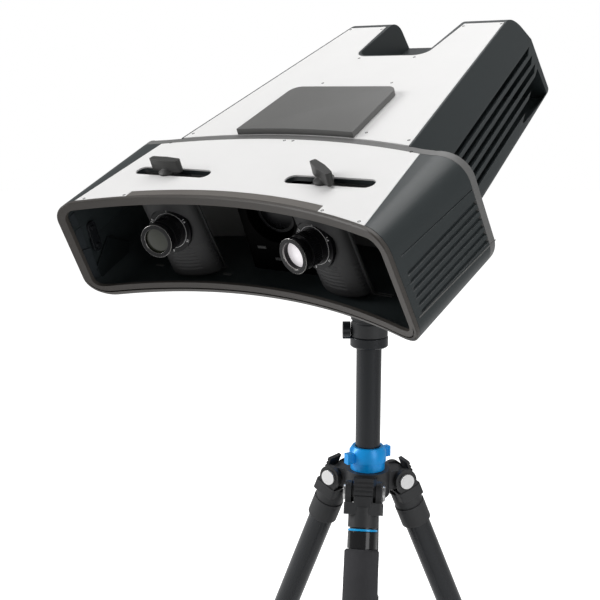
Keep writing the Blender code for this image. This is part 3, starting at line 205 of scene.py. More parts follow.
# Rear housing
rear_length = 0.4618
rear_plate_half = 0.1317
rear_plate_start = 0.114
rear_taper = 0.12
rear_rim = 0.002
rear_chamfer = (0.015, 0.033)
rear_flare = 0.005
rear_height = 0.1155
rear_bottom_corner = 0.014
rear_wall = 0.0035
rear_round = 0.027
rear_tail_lean = 0.0418
rear_tail_corner = 0.010
rear_round_length = 0.058
rear_round_start = rear_length - rear_round_length
rear_plate_setback = 0.0623
rear_plate_end = rear_length - rear_plate_setback
rear_end_wall = 0.009
rear_cavity_end = rear_length - rear_end_wall
rear_cavity_slope = 0.048
notch_length = 0.1458
notch_front = rear_length - notch_length
notch_half = (0.042, 0.048)
notch_depth = 0.041
notch_corner = 0.016
notch_rim = 0.002
louvre_count = 5
louvre_front = 0.150
louvre_tail = 0.0403
louvre_step = 0.0042
louvre_back = rear_length - louvre_tail
louvre_top = 0.037
louvre_pitch = 0.0118
louvre_height = 0.0072
louvre_depth = 0.008
louvre_slant = 0.010
panel_height = 0.006
panel_half = (0.068, 0.0625)
panel_back = 0.222
panel_corner = 0.012
panel_bevel = 0.0012

# Three-way head
head_pitch = math.radians(24.53)
mount_forward = 0.199
mount_plate = (0.060, 0.050)
mount_plate_corner = 0.004
mount_recess = 0.0105
mount_recess_half = 0.050
head_base_radius = 0.0205
head_base_height = 0.022
head_base_groove = 0.0015
pan_neck_radius = 0.0215
pan_disc_height = 0.010
pan_pillar = (0.034, 0.036)
tilt_axis_height = 0.0955
tilt_barrel_radius = 0.0200
tilt_cheek = 0.0085
tilt_bridge = (0.022, 0.032)
tilt_bridge_half = 0.0160
tilt_cheek_step = 0.0007
tilt_web_share = 0.9
side_axis_height = 0.040
side_barrel_radius = 0.0130
side_barrel_length = 0.034
side_cheek = 0.0070
side_web_share = 0.8
side_platform = (0.0545, 0.0610)
side_platform_half = 0.026
underside_height = 0.070
knob_radius = 0.0135
knob_length = 0.018
knob_stem_radius = 0.0045
knob_stem_length = 0.006
knob_lobes = 8
knob_lobe_depth = 0.0012
pan_knob_radius = 0.0100
pan_knob_length = 0.0085
pan_knob_azimuth = math.radians(-54.6)
pan_knob_height = 0.0060

# Centre column and its collar, heights above the leg pivots
column_radius = 0.0140
column_wall = 0.0016
column_top = 0.157
column_length = 0.300
column_plate_radius = 0.0210
column_plate_height = 0.012
column_plate_edge = 0.0012
column_plug_depth = 0.010
collar_radius = 0.0208
collar_top_radius = 0.0175
collar_top = 0.0415
collar_shoulder = 0.0365
collar_foot = 0.0245
collar_bottom = 0.0150
collar_foot_radius = 0.0195
collar_lug = (0.0105, 0.0075, 0.0120)
collar_lug_reach = 0.0240
collar_lug_azimuth = math.radians(66.5)
hook_disc_radius = 0.0150
hook_disc_height = 0.006
hook_ring_radius = 0.0080
hook_wire = 0.0016

# Spider and legs, heights from the leg pivots
pivot_radius = 0.0395
spider_top = 0.0147
spider_bottom = -0.0155
spider_hub_radius = 0.0250
arm_half_width = 0.0130
arm_eye_radius = 0.0105
arm_top = 0.0120
arm_root_drop = 0.0104
arm_lean = math.radians(8)
leg_azimuths = (math.radians(27), math.radians(147), math.radians(267))
leg_splay = math.radians(23)
cheek_thickness = 0.0065
cheek_radius = 0.0130
web_share = 0.92
bolt_radius = 0.0085
bolt_head = 0.0025
bolt_shank = 0.0040
casting_bottom = 0.0240
casting_half_depth = 0.0150
casting_inner_depth = 0.0138
casting_corner = 0.0035
casting_shoulder = 0.0010
sleeve_end = (0.0385, 0.0620)
sleeve_step = 0.0375
sleeve_radius = (0.0165, 0.0175)
socket_start = 0.026
tab_half_width = 0.0105
tab_thickness = 0.0040
tab_height = 0.0180
tab_drop = 0.0035
tab_seat = 0.0112
tab_rib_count = 3
tab_rib_depth = 0.0010
leg_collar_radius = 0.0160
leg_collar = (0.0392, 0.0600)
leg_collar_band = 0.0022
leg_collar_groove = 0.0008
tube_wall = 0.0014
upper_tube_radius = 0.0145
upper_tube_end = 0.400
middle_tube_radius = 0.0125
middle_tube_start = 0.075
middle_tube_reach = 0.040
middle_tube_end = upper_tube_end + middle_tube_reach
lower_tube_radius = 0.0105
lower_tube_start = 0.090
lock_radius = (0.0178, 0.0162)
lock_lap = 0.016
lock_overhang = 0.026
lock_lap_short = 0.0135
lock_edge = 0.0015
foot_radius = 0.0165
foot_standoff = 0.036
foot_top = middle_tube_end + foot_standoff
foot_neck_radius = 0.0125
foot_rise = 0.0275
foot_centre = foot_top + foot_rise
foot_crush = 0.0015
foam = (0.0608, 0.290)
foam_radius = 0.0190
foam_edge = 0.002

# Finishes: linear colour, roughness, metallic, grain size per metre, grain height, mottling,
# spread of the roughness, painted highlight along the edges, specular level
finish_table = {
    "white_plate": ((0.82, 0.815, 0.81), 0.45, 0.0, 1500, 0.00002, 0.02, 0.06, 0.0, 0.30),
    "dark_shell": ((0.027, 0.034, 0.036), 0.40, 0.0, 1800, 0.00004, 0.10, 0.10, 0.35, 0.40),
    "warm_grey_trim": ((0.135, 0.125, 0.115), 0.46, 0.0, 2000, 0.00003, 0.10, 0.08, 0.25, 0.30),
    "cap_grey": ((0.160, 0.160, 0.158), 0.42, 0.0, 2000, 0.00003, 0.08, 0.08, 0.25, 0.30),
    "bezel_grey": ((0.058, 0.052, 0.047), 0.44, 0.0, 2000, 0.00003, 0.10, 0.08, 0.45, 0.35),
    "panel_grey": ((0.130, 0.130, 0.127), 0.46, 0.0, 2200, 0.00005, 0.08, 0.08, 0.20, 0.30),
    "lever_black": ((0.030, 0.030, 0.029), 0.42, 0.0, 2200, 0.00005, 0.08, 0.08, 0.45, 0.40),
    "pod_grey": ((0.048, 0.048, 0.049), 0.55, 0.0, 1900, 0.00005, 0.12, 0.08, 0.60, 0.25),
    # Near-black painted shade for the faces deep in the open front: shell insides, the cap's front face, the
    # projector housing
    "painted_shade_black": ((0.0012, 0.0012, 0.0012), 0.60, 0.0, 1500, 0.00004, 0.10, 0.10, 0.0, 0.04),
    "wall_panel": ((0.030, 0.036, 0.040), 0.50, 0.0, 1600, 0.00004, 0.10, 0.10, 0.20, 0.20),
    "wall_dim": ((0.014, 0.018, 0.019), 0.50, 0.0, 1600, 0.00004, 0.10, 0.10, 0.20, 0.15),
    "mark_grey": ((0.100, 0.100, 0.100), 0.45, 0.0, 2200, 0.00002, 0.05, 0.05, 0.0, 0.30),
    "lens_black": ((0.005, 0.005, 0.006), 0.28, 0.0, 2600, 0.00002, 0.05, 0.08, 0.25, 0.25),
    "lens_rim": ((0.420, 0.410, 0.400), 0.20, 1.0, 2600, 0.00001, 0.04, 0.06, 0.0, 0.50),
    "satin_black": ((0.018, 0.020, 0.023), 0.26, 0.30, 2400, 0.00002, 0.06, 0.06, 0.25, 0.50),
    "cast_black": ((0.031, 0.032, 0.034), 0.46, 0.0, 1300, 0.00012, 0.14, 0.10, 0.55, 0.40),
    "gloss_black": ((0.010, 0.010, 0.011), 0.14, 0.2, 2200, 0.00001, 0.04, 0.05, 0.30, 0.55),
    "blue_anodised": ((0.000, 0.380, 1.000), 0.32, 0.10, 2400, 0.00002, 0.05, 0.06, 0.30, 0.50),
    "blue_bright": ((0.004, 0.420, 0.900), 0.30, 0.1, 2400, 0.00001, 0.04, 0.06, 0.10, 0.50),
    "bright_steel": ((0.82, 0.82, 0.82), 0.28, 0.8, 1800, 0.00003, 0.04, 0.08, 0.0, 0.50),
    "foam_black": ((0.056, 0.056, 0.060), 0.92, 0.0, 1100, 0.00030, 0.14, 0.04, 0.0, 0.15),
    "rubber_black": ((0.016, 0.016, 0.017), 0.70, 0.0, 1500, 0.00008, 0.10, 0.06, 0.20, 0.25),
    "print_white": ((0.80, 0.80, 0.80), 0.50, 0.0, 2600, 0.00001, 0.03, 0.04, 0.0, 0.30),
    "slot_black": ((0.006, 0.006, 0.006), 0.60, 0.0, 1500, 0.00004, 0.08, 0.06, 0.0, 0.15),
}


def linked(tree, kind, **values):
    """A node of a kind with some of its inputs and settings given."""
    made = tree.nodes.new(kind)
    for name, value in values.items():
        if name in made.inputs:
            if hasattr(value, "is_output"):
                tree.links.new(value, made.inputs[name])
            else:
                made.inputs[name].default_value = value
        else:
            setattr(made, name, value)
    return made


def ranged(tree, value, low, high, span=(0.0, 1.0)):
    """A value mapped from a span to the range between low and high."""
    made = linked(tree, "ShaderNodeMapRange")
    tree.links.new(value, made.inputs["Value"])
    for key, number in zip(("From Min", "From Max", "To Min", "To Max"), (*span, low, high)):
        made.inputs[key].default_value = number
    return made.outputs[0]


def mixed(tree, share, first, second):
    """A colour between two, by a share; each is a colour or another node's output."""
    made = linked(tree, "ShaderNodeMix", data_type="RGBA")
    tree.links.new(share, made.inputs[0])
    for socket, colour in ((made.inputs[6], first), (made.inputs[7], second)):
        if hasattr(colour, "is_output"):
            tree.links.new(colour, socket)
        else:
            socket.default_value = (*colour, 1)
    return made.outputs[2]


def math_node(tree, operation, first, second):
    """The result of a sum between an output and another output or number."""
    made = linked(tree, "ShaderNodeMath", operation=operation)
    tree.links.new(first, made.inputs[0])
    if hasattr(second, "is_output"):
        tree.links.new(second, made.inputs[1])
    else:
        made.inputs[1].default_value = second
    return made.outputs[0]


def make_finish(name, colour, roughness, metallic, grain, height, mottle, spread, edge_highlight, specular):
    """A finish: base colour with broad mottling and a painted highlight along the edges, uneven roughness
    and a fine grain.
    """
    material = bpy.data.materials.new("finish_" + name)
    material.use_nodes = True
    tree = material.node_tree
    shader = tree.nodes["Principled BSDF"]
    place = linked(tree, "ShaderNodeTexCoord").outputs["Object"]
    broad = linked(tree, "ShaderNodeTexNoise", Vector=place, Scale=mottle_scale, Detail=4.0, Roughness=0.6)
    fine = linked(tree, "ShaderNodeTexNoise", Vector=place, Scale=float(grain), Detail=2.0,
                  Roughness=0.55)
    dark = tuple(c * (1 - mottle) for c in colour)
    light = tuple(min(1.0, c * (1 + mottle)) for c in colour)
    result = mixed(tree, broad.outputs["Fac"], dark, light)
    rounding = linked(tree, "ShaderNodeBevel", samples=4, Radius=edge_rounding)
    # Painted highlight: the colour is lightened along the edges, where the rounded normal turns away from
    # the plain one
    if edge_highlight:
        plain = linked(tree, "ShaderNodeNewGeometry").outputs["Normal"]
        turn = linked(tree, "ShaderNodeVectorMath", operation="DOT_PRODUCT")
        tree.links.new(rounding.outputs[0], turn.inputs[0])
        tree.links.new(plain, turn.inputs[1])
        edge = ranged(tree, turn.outputs["Value"], 0.0, edge_highlight, edge_highlight_span)
        result = mixed(tree, edge, result, [min(1.0, c * edge_highlight_gain + edge_highlight_lift) for c in colour])
    tree.links.new(result, shader.inputs["Base Color"])
    rough = ranged(tree, broad.outputs["Fac"], roughness - spread / 2, roughness + spread / 2)
    tree.links.new(rough, shader.inputs["Roughness"])
    bump = linked(tree, "ShaderNodeBump", Strength=1.0, Distance=height)
    tree.links.new(fine.outputs["Fac"], bump.inputs["Height"])
    tree.links.new(rounding.outputs[0], bump.inputs["Normal"])
    tree.links.new(bump.outputs[0], shader.inputs["Normal"])
    shader.inputs["Metallic"].default_value = metallic
    shader.inputs["Specular IOR Level"].default_value = specular
    return material


def make_glass(name, colour, roughness, coat, glow):
    """A coated lens: a tinted dark mirror with a clear coat, and a painted glow in its own colour."""
    material = bpy.data.materials.new("finish_" + name)
    material.use_nodes = True
    tree = material.node_tree
    shader = tree.nodes["Principled BSDF"]
    place = linked(tree, "ShaderNodeTexCoord").outputs["Object"]
    cloud = linked(tree, "ShaderNodeTexNoise", Vector=place, Scale=glass_scale, Detail=2.0)
    dark, light = glass_mottle
    tint = mixed(tree, cloud.outputs["Fac"], [c * dark for c in colour],
                 [min(1.0, c * light) for c in colour])
    tree.links.new(tint, shader.inputs["Base Color"])
    shader.inputs["Roughness"].default_value = roughness
    shader.inputs["Coat Weight"].default_value = coat
    shader.inputs["Coat Roughness"].default_value = glass_coat_roughness
    # Painted highlight: the lens glows in its own colour, though it is no lamp
    shader.inputs["Emission Color"].default_value = (*colour, 1)
    shader.inputs["Emission Strength"].default_value = glow
    return material


edge_rounding = 0.0006
mottle_scale = 28.0
# How far in and how strongly the painted highlight lightens the edges
edge_highlight_span = (0.995, 0.86)
edge_highlight_gain = 1.7
edge_highlight_lift = 0.02
glass_scale = 60.0
glass_mottle = (0.8, 1.15)
glass_coat_roughness = 0.03
# Lenses: linear colour, roughness, weight of the coat, painted glow
glass_table = {
    "glass_olive": ((0.026, 0.030, 0.018), 0.16, 0.15, 0.0),
    # The bright lens carries a painted glow
    "glass_bright": ((0.92, 0.87, 0.91), 0.30, 0.5, 0.42),
}
materials = {name: make_finish(name, *facts) for name, facts in finish_table.items()}
materials.update({name: make_glass(name, *facts) for name, facts in glass_table.items()})

looks = bpy.data.collections.new("looks")
bpy.context.scene.collection.children.link(looks)
spare = bpy.data.collections.new("spare")
bpy.context.scene.collection.children.link(spare)
made_pieces = []


def frame(parent, location=(0, 0, 0), rotation=(0, 0, 0)):
    """A frame's matrix in the world."""
    turn = Matrix.Translation(location)
    for angle, axis in zip(rotation[::-1], "ZYX"):
        turn = turn @ Matrix.Rotation(angle, 4, axis)
    return (parent if parent is not None else Matrix.Identity(4)) @ turn


def holder(name, mesh, parent, collection, location=(0, 0, 0), rotation=(0, 0, 0)):
    """An object whose mesh lies in the world's frame."""
    mesh.transform(frame(parent, location, rotation))
    made = bpy.data.objects.new(name, mesh)
    collection.objects.link(made)
    return made


def piece(name, mesh, parent, material, location=(0, 0, 0), rotation=(0, 0, 0), node=None,
          body=None, soft=0.0, angle=sharp_angle):
    """One visible piece; it stands for the CAD node it is named after, or for the node given."""
    made = holder(name + "_look", mesh, parent, looks, location, rotation)
    made.data.materials.clear()
    made.data.materials.append(materials[material])
    made["finish"] = material
    made["node"] = node if node is not None else (name if body is None else "")
    made["body"] = body or body_of_node[made["node"] or name]
    made["soft"] = soft
    made["angle"] = angle
    made_pieces.append(made)
    return made


def tool(name, mesh, parent, location=(0, 0, 0), rotation=(0, 0, 0)):
    """A solid that cuts or joins a piece and isn't one itself."""
    return holder(name, mesh, parent, spare, location, rotation)


def boolean(target, tools, operation):
    for each in tools:
        step = target.modifiers.new(operation.lower(), "BOOLEAN")
        step.operation = operation
        step.solver = "EXACT"
        step.object = each


def cut(target, *tools):
    boolean(target, tools, "DIFFERENCE")


def join(target, *tools):
    boolean(target, tools, "UNION")


def bake(made):
    """Applies a piece's modifiers, rounds its edges and shades it."""
    if made["soft"]:
        edge = made.modifiers.new("soft", "BEVEL")
        edge.width = made["soft"]
        edge.segments = 3
        edge.limit_method = "ANGLE"
        edge.angle_limit = made["angle"]
        edge.use_clamp_overlap = True
    if made.modifiers:
        graph = bpy.context.evaluated_depsgraph_get()
        mesh = bpy.data.meshes.new_from_object(made.evaluated_get(graph))
        made.modifiers.clear()
        made.data = mesh
    made.data.shade_smooth()
    made.data.set_sharp_from_angle(angle=made["angle"])


def mesh_from(work):
    bmesh.ops.recalc_face_normals(work, faces=work.faces)
    mesh = bpy.data.meshes.new("shape")
    work.to_mesh(mesh)
    work.free()
    return mesh


def box_mesh(low, high, bevel=0.0):
    """A box between two opposite corners, with its upright edges rounded when bevel is given."""
    low = Vector(low)
    high = Vector(high)
    work = bmesh.new()
    place = Matrix.Translation((low + high) / 2) @ Matrix.Diagonal((*(high - low), 1))
    bmesh.ops.create_cube(work, size=1, matrix=place)
    if bevel:
        upright = [e for e in work.edges if abs((e.verts[0].co - e.verts[1].co).normalized().z) > 0.9]
        bmesh.ops.bevel(work, geom=upright, offset=bevel, segments=2, affect="EDGES", profile=round_profile)
    return mesh_from(work)


def rod_mesh(start, end, radius, end_radius=None, steps=round_steps):
    """A rod or cone between two points."""
    start = Vector(start)
    along = Vector(end) - start
    work = bmesh.new()
    turn = along.to_track_quat("Z", "Y").to_matrix().to_4x4()
    place = Matrix.Translation(start + along / 2) @ turn
    bmesh.ops.create_cone(
        work, cap_ends=True, segments=steps, radius1=radius,
        radius2=radius if end_radius is None else end_radius, depth=along.length, matrix=place)
    return mesh_from(work)


def bore_mesh(start, end, radius, steps=round_steps):
    """A rod for cutting a hole, its flats clear of the radius."""
    return rod_mesh(start, end, radius / math.cos(math.pi / steps), steps=steps)


def strip_mesh(stations, inside=0, front=0):
    """A loft of paired point lists; inside and front number the finish of those faces."""
    work = bmesh.new()
    grid = [[[work.verts.new(p) for p in side] for side in station] for station in stations]
    for (side_a, side_b) in (grid[0], grid[-1]):
        for i in range(len(side_a) - 1):
            made = work.faces.new((side_a[i], side_a[i + 1], side_b[i + 1], side_b[i]))
            made.material_index = front if side_a is grid[0][0] else 0
    for near, far in zip(grid, grid[1:]):
        for side in (0, 1):
            for i in range(len(near[side]) - 1):
                made = work.faces.new((near[side][i], near[side][i + 1], far[side][i + 1],
                                       far[side][i]))
                made.material_index = inside * side
        for end in (0, -1):
            work.faces.new((near[0][end], near[1][end], far[1][end], far[0][end]))
    return mesh_from(work)


def ring_mesh(rings, wrap=False):
    """A loft through closed rings, either capped at both ends or wrapped round on itself."""
    work = bmesh.new()
    grid = [[work.verts.new(p) for p in ring] for ring in rings]
    count = len(rings[0])
    pairs = list(zip(grid, grid[1:]))
    if wrap:
        pairs.append((grid[-1], grid[0]))
    else:
        work.faces.new(grid[0])
        work.faces.new(grid[-1])
    for near, far in pairs:
        for i in range(count):
            j = (i + 1) % count
            work.faces.new((near[i], near[j], far[j], far[i]))
    return mesh_from(work)


def closed_spline(curve, points):
    """Adds a closed polyline to a curve."""
    spline = curve.splines.new("POLY")
    spline.points.add(len(points) - 1)
    spline.use_cyclic_u = True
    for point, place in zip(spline.points, points):
        point.co = (*place, 1)


def curve_mesh(curve):
    """The mesh of a curve or a text."""
    shape = bpy.data.objects.new("shape", curve)
    spare.objects.link(shape)
    graph = bpy.context.evaluated_depsgraph_get()
    mesh = bpy.data.meshes.new_from_object(shape.evaluated_get(graph))
    bpy.data.objects.remove(shape, do_unlink=True)
    return mesh


def slab_mesh(outlines, low, high):
    """A flat piece from a plan outline, with any further outlines as holes in it."""
    curve = bpy.data.curves.new("outline", "CURVE")
    curve.dimensions = "2D"
    curve.fill_mode = "BOTH"
    curve.extrude = (high - low) / 2
    for outline in outlines:
        closed_spline(curve, [(x, y, 0) for x, y in outline])
    mesh = curve_mesh(curve)
    work = bmesh.new()
    work.from_mesh(mesh)
    bmesh.ops.remove_doubles(work, verts=work.verts, dist=weld_distance)
    bmesh.ops.translate(work, verts=work.verts, vec=(0, 0, (low + high) / 2))
    return mesh_from(work)


def across_mesh(outlines, low, high):
    """A flat piece whose outlines stand in the YZ plane, with its thickness along X."""
    mesh = slab_mesh(outlines, low, high)
    mesh.transform(Matrix(((0, 0, 1, 0), (1, 0, 0, 0), (0, 1, 0, 0), (0, 0, 0, 1))))
    return mesh


def along_mesh(outlines, low, high):
    """A flat piece whose outlines stand in the XZ plane, with its thickness along Y."""
    mesh = slab_mesh(outlines, -high, -low)
    mesh.transform(Matrix(((1, 0, 0, 0), (0, 0, -1, 0), (0, 1, 0, 0), (0, 0, 0, 1))))
    return mesh


def arch_outline(half_width, radius, foot):
    """A round head on the axis over an upright stem that ends at a foot below or above it."""
    top = math.copysign(1, -foot)
    lean = math.asin(half_width / radius)
    turn = arc_points((0, 0), radius, -math.pi / 2 + lean, 3 * math.pi / 2 - lean, small_steps)
    turn = [(a, b * top) for a, b in turn]
    outline = [(half_width, foot)] + turn + [(-half_width, foot)]
    return outline if top > 0 else outline[::-1]


def tube_profile(inner, outer, top, bottom):
    """The closed wall profile of a round tube."""
    return [(outer, top), (outer, bottom), (inner, bottom), (inner, top)]


def blend(pair, share):
    return pair[0] + (pair[1] - pair[0]) * share


def arc_points(centre, radius, start, end, steps):
    """Points on an arc in a plane, both ends included."""
    turns = [start + (end - start) * i / steps for i in range(steps + 1)]
    return [(centre[0] + radius * math.cos(a), centre[1] + radius * math.sin(a)) for a in turns]


def rounded_outline(corners, radii, steps=corner_steps):
    """A polygon with each corner rounded by its own radius."""
    made = []
    count = len(corners)
    for i, (corner, radius) in enumerate(zip(corners, radii)):
        here = Vector(corner)
        if not radius:
            made.append(tuple(here))
            continue
        before = (Vector(corners[i - 1]) - here).normalized()
        after = (Vector(corners[(i + 1) % count]) - here).normalized()
        half = before.angle(after) / 2
        centre = here + (before + after).normalized() * (radius / math.sin(half))
        first = here + before * (radius / math.tan(half)) - centre
        last = here + after * (radius / math.tan(half)) - centre
        sweep = first.angle_signed(last)
        for k in range(steps + 1):
            turn = Matrix.Rotation(-sweep * k / steps, 2)
            made.append(tuple(centre + turn @ first))
    return made


def round_hole(centre, radius, steps=small_steps):
    """A round opening for a plan outline, its flats clear of the radius."""
    reach = radius / math.cos(math.pi / steps)
    return arc_points(centre, reach, 0, math.tau, steps)[:-1][::-1]


def stadium(centre, length, width, steps=corner_steps * 2):
    """A slot outline with round ends, long along X."""
    reach = (length - width) / 2
    right = arc_points((centre[0] + reach, centre[1]), width / 2, -math.pi / 2, math.pi / 2, steps)
    left = arc_points((centre[0] - reach, centre[1]), width / 2, math.pi / 2, 3 * math.pi / 2, steps)
    return right + left


def lathe_mesh(profile, steps=round_steps, closed=False):
    """A turned mesh; its (radius, height) profile runs down the outer side."""
    work = bmesh.new()
    rows = []
    for radius, height in profile:
        if radius < weld_distance:
            rows.append([work.verts.new((0, 0, height))])
        else:
            rows.append([work.verts.new((radius * math.cos(math.tau * i / steps),
                                         radius * math.sin(math.tau * i / steps), height))
                         for i in range(steps)])
    pairs = list(zip(rows, rows[1:]))
    if closed:
        pairs.append((rows[-1], rows[0]))
    for near, far in pairs:
        for i in range(steps):
            j = (i + 1) % steps
            corners = [near[i % len(near)], near[j % len(near)], far[j % len(far)], far[i % len(far)]]
            kept = [v for k, v in enumerate(corners) if v is not corners[k - 1]]
            if len(kept) > 2:
                work.faces.new(kept)
    return mesh_from(work)


def turned(name, profile, parent, material=None, steps=round_steps, closed=False,
           location=(0, 0, 0), rotation=(0, 0, 0), **facts):
    """A turned piece, or a turned tool where no material is given."""
    mesh = lathe_mesh(profile, steps, closed)
    if material:
        return piece(name, mesh, parent, material, location, rotation, **facts)
    return tool(name, mesh, parent, location, rotation)


# Frames, from the floor up
foot_drop = foot_centre * math.cos(leg_splay) + foot_radius - foot_crush
plate_low, plate_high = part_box("column_top_plate")
stand = frame(None, ((plate_low[0] + plate_high[0]) / 2, (plate_low[1] + plate_high[1]) / 2,
                     plate_high[2] - foot_drop - column_top - column_plate_height))
spider_frame = frame(stand, (0, 0, foot_drop))
column_axis = frame(spider_frame)
head_foot_height = column_top + column_plate_height
pan_axis = frame(column_axis, (0, 0, head_foot_height))
tilt_axis = frame(pan_axis, (0, 0, tilt_axis_height), (head_pitch, 0, 0))
side_axis = frame(tilt_axis, (0, 0, side_axis_height))
scanner_frame = frame(
    side_axis,
    (0, -mount_forward, underside_height + rear_height - mount_recess - side_axis_height))


def beam_front_edge(across, share):
    """How far back the beam's face lies at a distance from its middle; its ends reach further."""
    radius = beam_front_radius + beam_depth * share
    reach = beam_end_slope * share * max(0, abs(across) - beam_end_start)
    return math.sqrt(radius ** 2 - across ** 2) - beam_front_radius + reach


def beam_point(across, height, share, setback=0.0):
    """A point of the beam: share runs from its open front to its back."""
    lean = beam_slant * (-height / beam_height) * (1 - share)
    return (across, beam_front_edge(across, share) + lean + setback, height)


def beam_half_outline(share):
    """The right half of a beam section, as (across, height, normal across, normal height)."""
    top = blend(beam_top_half, share)
    bottom = blend(beam_bottom_half, share)
    side = Vector((bottom - top, -beam_height)).normalized()
    out = Vector((-side.y, side.x))
    top_radius = blend(beam_top_corner, share)
    bottom_radius = blend(beam_bottom_corner, share)
    turn = math.acos(side.x)
    top_centre = (top - top_radius * math.tan(turn / 2), -top_radius)
    low_turn = math.pi - turn
    low_centre = (bottom - bottom_radius * math.tan(low_turn / 2), bottom_radius - beam_height)
    start = math.pi / 2
    upper = []
    for i in range(corner_steps + 1):
        angle = start - turn * i / corner_steps
        normal = (math.cos(angle), math.sin(angle))
        upper.append((top_centre[0] + top_radius * normal[0],
                      top_centre[1] + top_radius * normal[1], *normal))
    lower = []
    for i in range(corner_steps + 1):
        angle = start - turn - low_turn * i / corner_steps
        normal = (math.cos(angle), math.sin(angle))
        lower.append((low_centre[0] + bottom_radius * normal[0],
                      low_centre[1] + bottom_radius * normal[1], *normal))

    def on_side(height):
        along = -height / beam_height
        return (top + (bottom - top) * along, height, out.x, out.y)

    return upper, lower, on_side


def seam_height():
    """The shells meet in the middle of the second side groove."""
    return -(rib_top_height + rib_pitch)


def rib_relief(index, ribbed):
    """Corner heights and depths of one side groove."""
    centre = -(rib_top_height + rib_pitch * index)
    depth = rib_groove_depth if ribbed else 0.0
    return [(centre + rib_groove_half, 0.0), (centre + rib_floor_half, depth),
            (centre - rib_floor_half, depth), (centre - rib_groove_half, 0.0)]


def upper_half(share, ribbed, open_gap=gap):
    """The upper half section from the middle to the seam, with the depth of its relief."""
    upper, _, on_side = beam_half_outline(share)
    plate = blend(beam_plate_half, share)
    recess = plate_thickness + gap
    items = [(plate * i / arch_steps, 0.0, 0.0, 1.0, recess) for i in range(arch_steps + 1)]
    items.append((plate + gap, 0.0, 0.0, 1.0, recess))
    items.append((plate + gap, 0.0, 0.0, 1.0, 0.0))
    items += [(*point, 0.0) for point in upper]
    line = -blend(panel_groove_height, share)
    floor = panel_groove if ribbed else 0.0
    items.append((*on_side(line), 0.0))
    items.append((*on_side(line - panel_groove / 2), floor))
    items.append((*on_side(line - panel_groove), 0.0))
    for height, depth in rib_relief(0, ribbed):
        items.append((*on_side(height), depth))
    seam = rib_relief(1, ribbed)
    items.append((*on_side(seam[0][0]), 0.0))
    items.append((*on_side(seam[1][0]), seam[1][1]))
    items.append((*on_side(seam_height() + open_gap / 2), seam[1][1]))
    return items


def lower_half(share, ribbed, open_gap=gap):
    """The lower half section from the seam to the middle of the floor."""
    _, lower, on_side = beam_half_outline(share)
    seam = rib_relief(1, ribbed)
    items = [(*on_side(seam_height() - open_gap / 2), seam[2][1]),
             (*on_side(seam[2][0]), seam[2][1]), (*on_side(seam[3][0]), 0.0)]
    for index in range(2, rib_count):
        for height, depth in rib_relief(index, ribbed):
            items.append((*on_side(height), depth))
    items += [(*point, 0.0) for point in lower]
    edge = lower[-1][0]
    items += [(edge * part, -beam_height, 0.0, -1.0, 0.0) for part in flat_shares[::-1]]
    return items


def mirrored(half, from_middle):
    """A whole section, left to right, from a right half that shares its middle point."""
    ordered = half if from_middle else half[::-1]
    left = [(-u, w, -nu, nw, depth) for u, w, nu, nw, depth in ordered[1:]][::-1]
    return left + ordered


def section_points(items, share, inset, setback=0.0):
    """Beam points moved in from the outline: by their relief, or by a wall where inset is given."""
    made = []
    for u, w, nu, nw, depth in items:
        move = depth if inset is None else inset
        made.append(beam_point(u - nu * move, w - nw * move, share, setback))
    return made


def shell_stations(half, wall):
    """Stations of a beam shell, from behind the bezel to the back cap."""
    front = (bezel_depth + gap) / beam_depth
    ramp = (rib_front_setback + rib_ramp) / beam_depth
    back = 1 - (cap_depth + gap) / beam_depth
    stops = ((front, False), (rib_front_setback / beam_depth, False), (ramp, True), (back, True))
    made = []
    for share, ribbed in stops:
        items = mirrored(half(share, ribbed), half is upper_half)
        made.append((section_points(items, share, None), section_points(items, share, wall)))
    return made


def make_beam():
    """The beam's shells, bezel, back cap, white plate and visor strip."""
    deck_wall = beam_wall + plate_thickness + gap
    top = piece("beam_upper_shell", strip_mesh(shell_stations(upper_half, deck_wall), 1),
                scanner_frame, "dark_shell")
    low = piece("beam_lower_shell", strip_mesh(shell_stations(lower_half, beam_wall), 1),
                scanner_frame, "dark_shell")
    # The shells' inner faces take the near-black painted shade
    for shell in (top, low):
        shell.data.materials.append(materials["painted_shade_black"])
    for side, name in ((-1, "left"), (1, "right")):
        centre = side * (slot_inner + slot_outer) / 2
        outline = stadium((centre, slot_centre), slot_outer - slot_inner, slot_width)
        cut(top, tool("slot_" + name, slab_mesh([outline], -deck_wall - overrun, overrun), scanner_frame))
    make_bezel()
    make_back_cap()
    make_beam_plate()


def plain_ring(share, inset, setback=0.0, sunk=0.0):
    """A ring round the plain beam section, its inset growing to the sill and sunk only there."""
    sill = bezel_sill / bezel_width
    upper, lower, _ = beam_half_outline(share)
    flat_top = [(upper[0][0] * part, 0.0, 0.0, 1.0) for part in flat_shares]
    flat_low = [(lower[-1][0] * part, -beam_height, 0.0, -1.0) for part in flat_shares[::-1]]
    half = flat_top + upper + lower + flat_low
    items = half + [(-u, w, -nu, nw) for u, w, nu, nw in half[1:-1]][::-1]
    return [beam_point(u - nu * inset, w - nw * inset * (1 + sill * max(0.0, -nw)), share,
                       setback + sunk * max(0.0, -nw)) for u, w, nu, nw in items]


def make_bezel():
    """The lighter frame round the open front, with a groove run in its face."""
    back = bezel_depth / beam_depth
    inner, outer = (bezel_width * share for share in bezel_groove_shares)
    rings = [
        plain_ring(back, 0.0), plain_ring(0.0, 0.0, bezel_edge, bezel_lip),
        plain_ring(0.0, bezel_edge, 0.0, bezel_lip * bezel_lip_share), plain_ring(0.0, inner),
        plain_ring(0.0, inner, 0.0, bezel_groove), plain_ring(0.0, outer, 0.0, bezel_groove),
        plain_ring(0.0, outer),
        plain_ring(0.0, bezel_width), plain_ring(back, bezel_width)]
    piece("front_bezel", ring_mesh(rings, wrap=True), scanner_frame, "bezel_grey")


